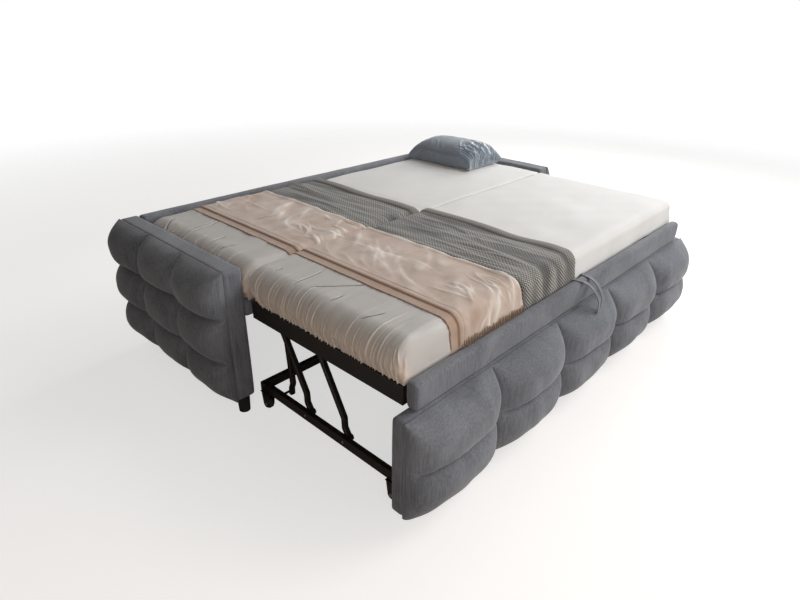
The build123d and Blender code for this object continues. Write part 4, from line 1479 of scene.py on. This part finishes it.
    def _beige(self, shop: Workshop) -> None:
        """Makes the beige plush throw with its double hem, and its fringe."""
        low, high = corners_of(self.name + "_beige_throw")
        span = (low[0], high[0])
        width = span[1] - span[0]
        hem_wave = Ripple(self.seed + 20, 0.12, 0.5, 1)
        creases = [
            Strokes(self.seed + 21, 22, (0.14, 0.39), (0.04, 0.26), 1.25, 0.35,
                    (0.03, 0.10), (0.006, 0.012), 0.0048, 4.0),
            Strokes(self.seed + 22, 9, (0.12, 0.36), (0.3, 0.75), 0.6, 0.4,
                    (0.08, 0.17), (0.014, 0.026), 0.0036, 2.0),
            Strokes(self.seed + 23, 8, (0.08, 0.3), (0.6, 0.85), 1.1, 0.25,
                    (0.08, 0.18), (0.010, 0.018), 0.003, 1.5),
        ]
        broad = Ripple(self.seed + 24, 0.06, 0.25, 2)
        stitch, hem_end, upper_start = 0.0365, 0.038, 0.046

        def from_hem(u: np.ndarray, v: np.ndarray) -> np.ndarray:
            return u + 0.002 * hem_wave.at(v)

        def lift(u: np.ndarray, v: np.ndarray) -> np.ndarray:
            d = from_hem(u, v)
            teeth = 0.5 + 0.5 * np.sin(2 * math.pi * v / 0.024 + 1.5 * hem_wave.at(v * 3))
            body = 0.0115 + 0.0012 * broad.at(u, v) + sum(crease.at(u, v) for crease in creases)
            body = body * eased(d, 0.03, 0.1) + 0.0135 * (1 - eased(d, 0.03, 0.1))
            body = body - 0.0022 * np.exp(-((d - 0.061) / 0.005) ** 2)
            far = width - u
            body = body + 0.004 * np.exp(-((far - 0.012) / 0.012) ** 2)
            lower = 0.0076 + 0.0034 * teeth * np.exp(-d / 0.006)
            lip = np.sqrt(np.clip(1 - ((upper_start - d) / 0.008) ** 2, 0, 1))
            upper = lower + (body - lower) * np.where(d > upper_start, 1, lip)
            height = np.where(d < hem_end, lower, upper)
            return height - 0.002 * np.exp(-np.minimum(u, far) / 0.002) - 0.004 * (1 - eased(far, 0.0, 0.006))

        # Darker along the stitch line, a painted shadow under the folded lip, and at the very edge, a painted
        # shadow at the toothed hem; browner over the lip and the valley behind it; a light tint of the hem's
        # own brown on the lower band.
        def band(u: np.ndarray, v: np.ndarray) -> np.ndarray:
            d = from_hem(u, v)
            line = np.exp(-((d - stitch) / 0.0028) ** 2)
            fold = 0.45 * (d > hem_end) * (1 - eased(d, 0.052, 0.066))
            return np.clip(line + fold + 0.22 * (d < stitch) + 0.5 * np.exp(-d / 0.002), 0, 1)

        def edge(u: np.ndarray, v: np.ndarray) -> np.ndarray:
            return 0.0035 * hem_wave.at(v) * (0.5 + 0.5 * u / width)

        hem = self._hem()
        name = self.name + "_beige_plush"
        throw = self._throw(name, span, hem, lift, band, edge, 170, self.PLUSH_THICKNESS)
        shop.place(throw, self.body, Finish.PLUSH, "beige_plush", [self.name + "_beige_throw"])
        extra = [self._fringe(shop, span, hem)] if self.seam_side > 0 else []

    def _fringe(self, shop: Workshop, span: tuple[float, float], hem: float) -> Piece:
        """Makes the row of short tassels along the front hem.

        Args:
            shop: where the piece is dressed.
            span: ends of the throw along the bed.
            hem: the hem's height; not used.

        Returns:
            The fringe.
        """
        draw = np.random.default_rng(self.seed + 30)
        start, end = span[0] + 0.05, span[1] - 0.006
        rail = corners_of("top_rail_cover")[1]
        count = int((end - start) / self.STRAND_SPACING)
        strands = []
        for index in range(count):
            x = start + (end - start) * (index + 0.5) / count + draw.uniform(-0.0015, 0.0015)
            top = rail[2] + draw.uniform(0.022, 0.034)
            lean = draw.uniform(-0.003, 0.003)
            y = rail[1] - 0.0125
            heights = np.array([top, rail[2] + 0.016, rail[2] + 0.006, rail[2] + 0.0012])
            radii = np.array([0.0010, 0.0020, 0.0022, 0.0011])
            turns = np.linspace(0, 2 * math.pi, self.STRAND_SIDES)
            ring = np.stack([np.cos(turns), np.sin(turns)], -1)
            rows = []
            for height, radius in zip(heights, radii):
                share = (top - height) / (top - heights[-1])
                rows.append(np.stack([
                    x + lean * share + ring[:, 0] * radius, y - 0.0022 * share + ring[:, 1] * radius,
                    np.full(self.STRAND_SIDES, height)], -1))
            tip = np.repeat([[x + lean, y - 0.0022, heights[-1] - 0.0008]], self.STRAND_SIDES, axis=0)
            knot = np.repeat([[x, y, top + 0.0008]], self.STRAND_SIDES, axis=0)
            strands.append(Cloth.grid(np.stack([knot, *rows, tip]), turned=True).sewn())
        fringe = Cloth.joined(strands).piece(self.name + "_throw_fringe")
        return shop.place(fringe, self.body, Finish.FRINGE, "beige_plush")

    def _grey(self, shop: Workshop) -> None:
        """Makes the grey knitted throw, in long soft folds with a rolled end."""
        low, high = corners_of(self.name + "_grey_throw")
        span = (low[0], high[0])
        width = span[1] - span[0]
        drift = Ripple(self.seed + 40, 0.25, 0.9, 1)
        folds = [
            Strokes(self.seed + 41, 16, (0.0, width - 0.09), (0.05, 0.85), math.pi / 2, 0.06, (0.15, 0.42),
                    (0.012, 0.024), 0.0052, 0.3),
            Strokes(self.seed + 43, 22, (0.0, width - 0.09), (0.05, 0.85), math.pi / 2, 0.09, (0.06, 0.2),
                    (0.005, 0.009), 0.0024, 0.5),
        ]
        broad = Ripple(self.seed + 42, 0.05, 0.2, 2)
        front = self.high[2] - self._hem() if self.seam_side > 0 else 0.0
        roll_radius = 0.027

        def from_end(u: np.ndarray, v: np.ndarray) -> np.ndarray:
            return width - u + 0.004 * drift.at(v)

        def lift(u: np.ndarray, v: np.ndarray) -> np.ndarray:
            d = from_end(u, v)
            lying = eased(v, front - 0.05, front + 0.12)
            standing = sum(fold.at(u, v) for fold in folds) * (0.25 + 0.75 * lying)
            body = 0.0058 + 0.0009 * broad.at(u, v * 0.3) + standing
            rolled = 0.0050 + 0.0085 * np.sqrt(np.clip(1 - ((d - roll_radius) / roll_radius) ** 2, 0, 1))
            share = (1 - eased(d, 2 * roll_radius, 0.058)) * lying
            height = body * (1 - share) + rolled * share
            return height - 0.002 * (1 - eased(np.minimum(u, width - u), 0.0, 0.005))

        def band(u: np.ndarray, v: np.ndarray) -> np.ndarray:
            d = from_end(u, v)
            return (1 - eased(d, 0.05, 0.06)) * (0.3 + 0.7 * eased(v, front - 0.04, front + 0.1))

        def edge(u: np.ndarray, v: np.ndarray) -> np.ndarray:
            return 0.003 * drift.at(v) * u / width

        name = self.name + "_grey_knit"
        throw = self._throw(name, span, self._hem(), lift, band, edge, 130, self.KNIT_THICKNESS)
        shop.place(throw, self.body, Finish.KNIT, "grey_knit", [self.name + "_grey_throw"])


@dataclass
class Pillow:
    """The pillow at the head end: a stuffed bag that is crumpled at its short side in front."""

    seed: int = 90
    voxel: float = 0.005
    pressure: float = 4.0
    most_swell: float = 0.012

    FOLD_PITCH = 0.024
    FOLD_HEIGHT = 0.0105

    def make(self, shop: Workshop) -> None:
        """Makes, stuffs and hangs the pillow."""
        low, high = corners_of("pillow")
        middle = (low + high) / 2
        half = (high - low) / 2
        a, b = np.meshgrid(np.linspace(-1, 1, 81), np.linspace(-1, 1, 111), indexing="ij")
        pull_a = 1 - 0.075 * (1 - b**4)
        pull_b = 1 - 0.05 * (1 - a**4)
        x = middle[0] + a * half[0] * 0.985 * pull_a
        y = middle[1] + b * half[1] * 0.985 * pull_b
        steep = np.where(b < 0, 0.40, 0.5)
        dome = (1 - np.abs(a) ** 2.6).clip(0) ** 0.52 * (1 - np.abs(b) ** 4.2).clip(0) ** steep
        seam = low[2] + 0.024
        top = seam + (high[2] - seam - 0.006) * dome
        under = seam - (seam - low[2]) * np.minimum(1, dome * 2.4)
        upper = Cloth.grid(np.stack([x, y, top], -1))
        lower = Cloth.grid(np.stack([x, y, under], -1), turned=True)
        pillow = Cloth.joined([upper, lower]).sewn().piece("pillow_case")
        facing_out(pillow)
        stuffed(pillow, self.voxel, self.pressure, self.most_swell)
        self._crumple(pillow, low, high)
        shop.place(pillow, "daybed_frame", Finish.PILLOW, "pillow_satin", ["pillow"])

    def _crumple(self, pillow: Piece, low: np.ndarray, high: np.ndarray) -> None:
        """Adds the small folds of the slack case.

        Args:
            pillow: the stuffed pillow.
            low: lowest corner of the room that it has.
            high: highest corner of that room.
        """
        places = vertices_of(pillow)
        normals = np.empty(places.size)
        pillow.data.vertices.foreach_get("normal", normals)
        out = normals.reshape(-1, 3)
        x, y, z = places.T
        in_front = np.exp(-((np.maximum(y - low[1], 0) / 0.12) ** 3)) * eased(z - low[2], 0.006, 0.03)
        inside = eased(np.minimum(x - low[0], high[0] - x), 0.02, 0.07)
        bend = 0.0065 * np.abs(((z - low[2]) / 0.034) % 2 - 1)
        bend = bend + 0.006 * Ripple(self.seed, 0.03, 0.1, 3).at(x, y, z)
        turns = (x + bend) / self.FOLD_PITCH + 0.5 * Ripple(self.seed + 1, 0.04, 0.15, 1).at(x)
        sharp = 1 - np.abs(np.cos(math.pi * turns)) ** 0.8
        slack = Strokes(
            self.seed + 2, 12, (0.0, 0.34), (0.0, 0.5), 1.0, 0.7, (0.05, 0.13), (0.006, 0.014), 0.003, 2.0
        )
        loose = slack.at(x - low[0], y - low[1]) * eased(z - low[2], 0.02, 0.06)
        broad = Ripple(self.seed + 3, 0.07, 0.25).at(x, y, z)
        lift = self.FOLD_HEIGHT * (sharp - 0.55) * in_front * inside + loose + 0.0016 * broad
        places = places + out * lift[:, None]
        places[:, 2] = np.maximum(places[:, 2], low[2] + 0.0002)
        pillow.data.vertices.foreach_set("co", places.ravel())


# Strap and hardware


@dataclass
class PullStrap:
    """The loop of flat tape that pulls the trundle out: two legs that meet at a curled tip."""

    width: float = 0.018
    thickness: float = 0.0026

    def make(self, shop: Workshop) -> None:
        """Makes and hangs the strap."""
        low, high = corners_of("pull_strap")
        rail_low, rail_high = corners_of("top_rail_cover")
        middle_x = (low[0] + high[0]) / 2
        spread = (high[0] - low[0]) / 2 - self.width / 2
        over = rail_high[2] + 0.0022
        back = rail_high[1] + 0.0016
        legs = []
        for side in (-1, 1):
            stations = [
                (0.0, back, rail_high[2] - 0.014), (0.0, back, over - 0.006), (0.02, back - 0.006, over),
                (0.3, rail_low[1] + 0.012, over + 0.001), (0.48, rail_low[1] - 0.020, over - 0.006),
                (0.68, rail_low[1] - 0.052, over - 0.032), (0.86, rail_low[1] - 0.072, over - 0.072),
                (1.0, low[1] + 0.004, low[2] + 0.003),
            ]
            shares, ys, zs = (np.array(column) for column in zip(*stations))
            at = np.linspace(0, 1, len(stations))
            fine = np.linspace(0, 1, 90)
            share = through(tuple(zip(at, shares)), fine)
            y = through(tuple(zip(at, ys)), fine)
            z = through(tuple(zip(at, zs)), fine)
            x = middle_x + side * (spread * (1 - share) + 0.0095 * share)
            line = np.stack([x, y, z], -1)
            along = np.gradient(line, axis=0)
            along /= np.linalg.norm(along, axis=1)[:, None]
            wide = np.cross(along, np.cross(np.tile((1.0, 0, 0), (len(line), 1)), along))
            wide /= np.linalg.norm(wide, axis=1)[:, None]
            up = np.cross(along, wide)
            profile = self._profile()
            points = line[:, None] + wide[:, None] * profile[None, :, :1] + up[:, None] * profile[None, :, 1:]
            ends = [np.repeat(points[i].mean(0)[None, None], points.shape[1], axis=1) for i in (0, -1)]
            legs.append(Cloth.grid(np.concatenate([ends[0], points, ends[1]])).sewn())
        strap = Cloth.joined(legs).piece("pull_strap_tape")
        facing_out(strap)
        shop.place(strap, "trundle_base", Finish.WEBBING, "strap_webbing", ["pull_strap"])

    def _profile(self) -> np.ndarray:
        """Returns the tape's cross-section, with a small roll along each edge."""
        half, flat = self.width / 2, self.thickness / 2
        rise = ((1.0, 0.0), (0.97, 1.15), (0.86, 1.2), (0.74, 0.7), (0.0, 0.8))
        upper = [(-half * aside, flat * up) for aside, up in rise]
        upper += [(half * aside, flat * up) for aside, up in rise[-2::-1]]
        lower = [(x, -z) for x, z in reversed(upper[1:-1])]
        return np.array(upper + lower + [upper[0]])


class Hardware:
    """Finishes of the hard parts, and the plastic plugs in the open tube ends."""

    FINISHES: dict[Finish, tuple[str, ...]] = {
        Finish.STEEL: (
            "main_beam", "corner_brackets", "base_rear_rail", "base_front_rail", "base_foot_rail",
            "base_head_rail", "base_cross_tubes", "caster_brackets", "prop_pegs", "deck_rear_rail",
            "deck_front_rail", "deck_foot_rail", "deck_head_rail", "deck_beam", "deck_bosses",
            "front_link_foot", "front_link_head", "rear_link_foot", "rear_link_head",
            "prop_foot", "prop_head", "rail_posts",
        ),
        Finish.ZINC: ("bracket_bolts", "panel_bolts", "caster_axles", "lower_pivot_pins", "upper_pivot_pins"),
        Finish.PLASTIC: ("bed_feet",),
        Finish.TREAD: (
            "caster_wheel_foot_rear", "caster_wheel_foot_front",
            "caster_wheel_head_rear", "caster_wheel_head_front",
        ),
        Finish.SLAT: ("main_slats", "deck_slats"),
        Finish.BOARD: (
            "foot_panel_core", "head_panel_core", "back_panel_core", "front_rail_core", "slat_cleats",
            "front_panel_core", "top_rail_core",
        ),
    }

    def make(self, shop: Workshop, nodes: dict[str, Piece]) -> None:
        """Dresses the hard parts and adds the plugs."""
        for finish, names in self.FINISHES.items():
            for name in names:
                shop.wardrobe.dress(nodes[name], finish)
        self._tube_plugs(shop)

    def _tube_plugs(self, shop: Workshop) -> None:
        """Makes the plugs that close the ends of the two long base tubes."""
        for place in ("rear", "front"):
            low, high = corners_of("base_" + place + "_rail")
            size = high - low
            plugs = []
            for sign, x in ((-1, low[0]), (1, high[0])):
                bpy.ops.object.select_all(action="DESELECT")
                bpy.ops.mesh.primitive_cube_add(
                    size=1, location=(x + sign * 0.0012, (low[1] + high[1]) / 2, (low[2] + high[2]) / 2),
                    scale=(0.0026, size[1] * 0.99, size[2] * 0.99),
                )
                plug = bpy.context.active_object
                settle(plug)
                only(plug)
                bpy.ops.object.mode_set(mode="EDIT")
                bpy.ops.mesh.select_all(action="SELECT")
                bpy.ops.mesh.bevel(offset=0.0009, segments=3, affect="EDGES")
                bpy.ops.object.mode_set(mode="OBJECT")
                plugs.append(plug)
            plug = merged(plugs, "base_" + place + "_tube_plugs")
            shop.place(plug, "trundle_base", Finish.PLASTIC, "black_plastic")


# Studio


class Studio:
    """Floor, light and camera."""

    CAMERA_PLACE = (-1.995056, -1.627615, 1.447993)
    CAMERA_TURN = (63.0768, -0.8911, -46.6950)
    LENS = 26.01
    COOL = (0.965, 0.98, 1.0)
    WARM = (1.0, 0.93, 0.87)
    LAMPS = (
        ("key_window", (2.6, -2.6, 3.6), (0.2, -0.3, 0.4), 2.4, 116.0, COOL),
        ("side_window", (4.0, 0.8, 2.4), (0.3, 0.1, 0.5), 2.4, 108.0, COOL),
        ("front_fill", (0.3, -3.9, 1.1), (0.2, -0.7, 0.3), 2.6, 40.0, COOL),
        ("ceiling", (1.3, -0.4, 3.6), (0.4, -0.2, 0.5), 2.4, 14.0, COOL),
        ("left_fill", (-3.2, -3.0, 3.4), (-0.3, -0.3, 0.4), 2.6, 17.0, WARM),
        ("foot_fill", (-2.6, -2.3, 1.5), (-0.9, -0.5, 0.5), 1.4, 15.0, WARM),
        ("back_window", (-1.5, 3.6, 3.2), (0.0, 0.3, 0.5), 2.6, 11.0, WARM),
    )
    WHITE = (1, 1, 1, 1)
    FLOOR_GLOW = 0.62
    FLOOR_TONES = ((0.5, 0.46, 0.42), (0.54, 0.5, 0.455))
    FLOOR_FADE = (2.6, 6.0)
    SKY_LIGHT = 0.04

    def make(self) -> None:
        """Makes the whole studio."""
        self._camera()
        self._floor()
        self._sky()
        for lamp in self.LAMPS:
            self._lamp(*lamp)

    def _camera(self) -> None:
        """Makes the camera where the photograph was taken from."""
        camera = bpy.data.cameras.new("camera")
        camera.sensor_width = 36
        camera.lens = self.LENS
        stand = in_scene("camera", camera)
        stand.location = self.CAMERA_PLACE
        stand.rotation_euler = Euler([math.radians(angle) for angle in self.CAMERA_TURN], "XYZ")
        bpy.context.scene.camera = stand

    def _floor(self) -> None:
        """Makes the pale floor."""
        bpy.ops.object.select_all(action="DESELECT")
        bpy.ops.mesh.primitive_plane_add(size=60)
        floor = bpy.context.active_object
        floor.name = "floor"
        material, sheet, shader = principled("pale_floor")
        place = sheet.place()
        tone = sheet.noise(place, 1.5, 2.0)
        seen = sheet.add("ShaderNodeLightPath").outputs["Is Camera Ray"]
        away = sheet.add("ShaderNodeVectorMath", {0: place}, operation="LENGTH").outputs["Value"]
        sheet.feed(shader, {
            "Base Color": sheet.mixed(tone, *self.FLOOR_TONES), "Roughness": 0.7,
            "Emission Color": self.WHITE, "Emission Strength": sheet.sum("MULTIPLY", seen, self.FLOOR_GLOW),
            "Alpha": sheet.ranged(away, *self.FLOOR_FADE, 1.0, 0.0),
        })
        floor.data.materials.append(material)

    def _sky(self) -> None:
        """Makes the white surroundings, brighter to the eye than they light the bed."""
        world = bpy.data.worlds.new("surroundings")
        world.use_nodes = True
        sheet = NodeSheet(world.node_tree)
        back = world.node_tree.nodes["Background"]
        seen = sheet.add("ShaderNodeLightPath").outputs["Is Camera Ray"]
        sheet.feed(back, {"Strength": sheet.ranged(seen, 0, 1, self.SKY_LIGHT, 1.0), "Color": self.WHITE})
        bpy.context.scene.world = world

    def _lamp(self, name: str, place: tuple, aim: tuple, size: float, power: float, colour: Colour) -> None:
        """Adds one soft window of light.

        Args:
            name: the lamp's name.
            place: where it is.
            aim: where it points.
            size: its side length.
            power: its power in watts.
            colour: its colour.
        """
        lamp = bpy.data.lights.new(name, "AREA")
        lamp.size = size
        lamp.energy = power
        lamp.color = colour
        stand = in_scene(name, lamp)
        stand.location = place
        stand.rotation_euler = (Vector(aim) - Vector(place)).to_track_quat("-Z", "Y").to_euler()


def main() -> None:
    """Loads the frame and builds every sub-assembly in order."""
    logging.basicConfig(level=logging.INFO, format="%(message)s")
    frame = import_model()
    bpy.context.scene.view_settings.view_transform = "Standard"
    Studio().make()
    shop = Workshop(Wardrobe(SharedEffects()))
    Upholstery().make(shop)
    Bed("main", "daybed_frame", -1, 100).make(shop)
    Bed("trundle", "pop_up_deck", 1, 200).make(shop)
    Pillow().make(shop)
    PullStrap().make(shop)
    Hardware().make(shop, frame["nodes"])


if __name__ == "__main__":
    main()
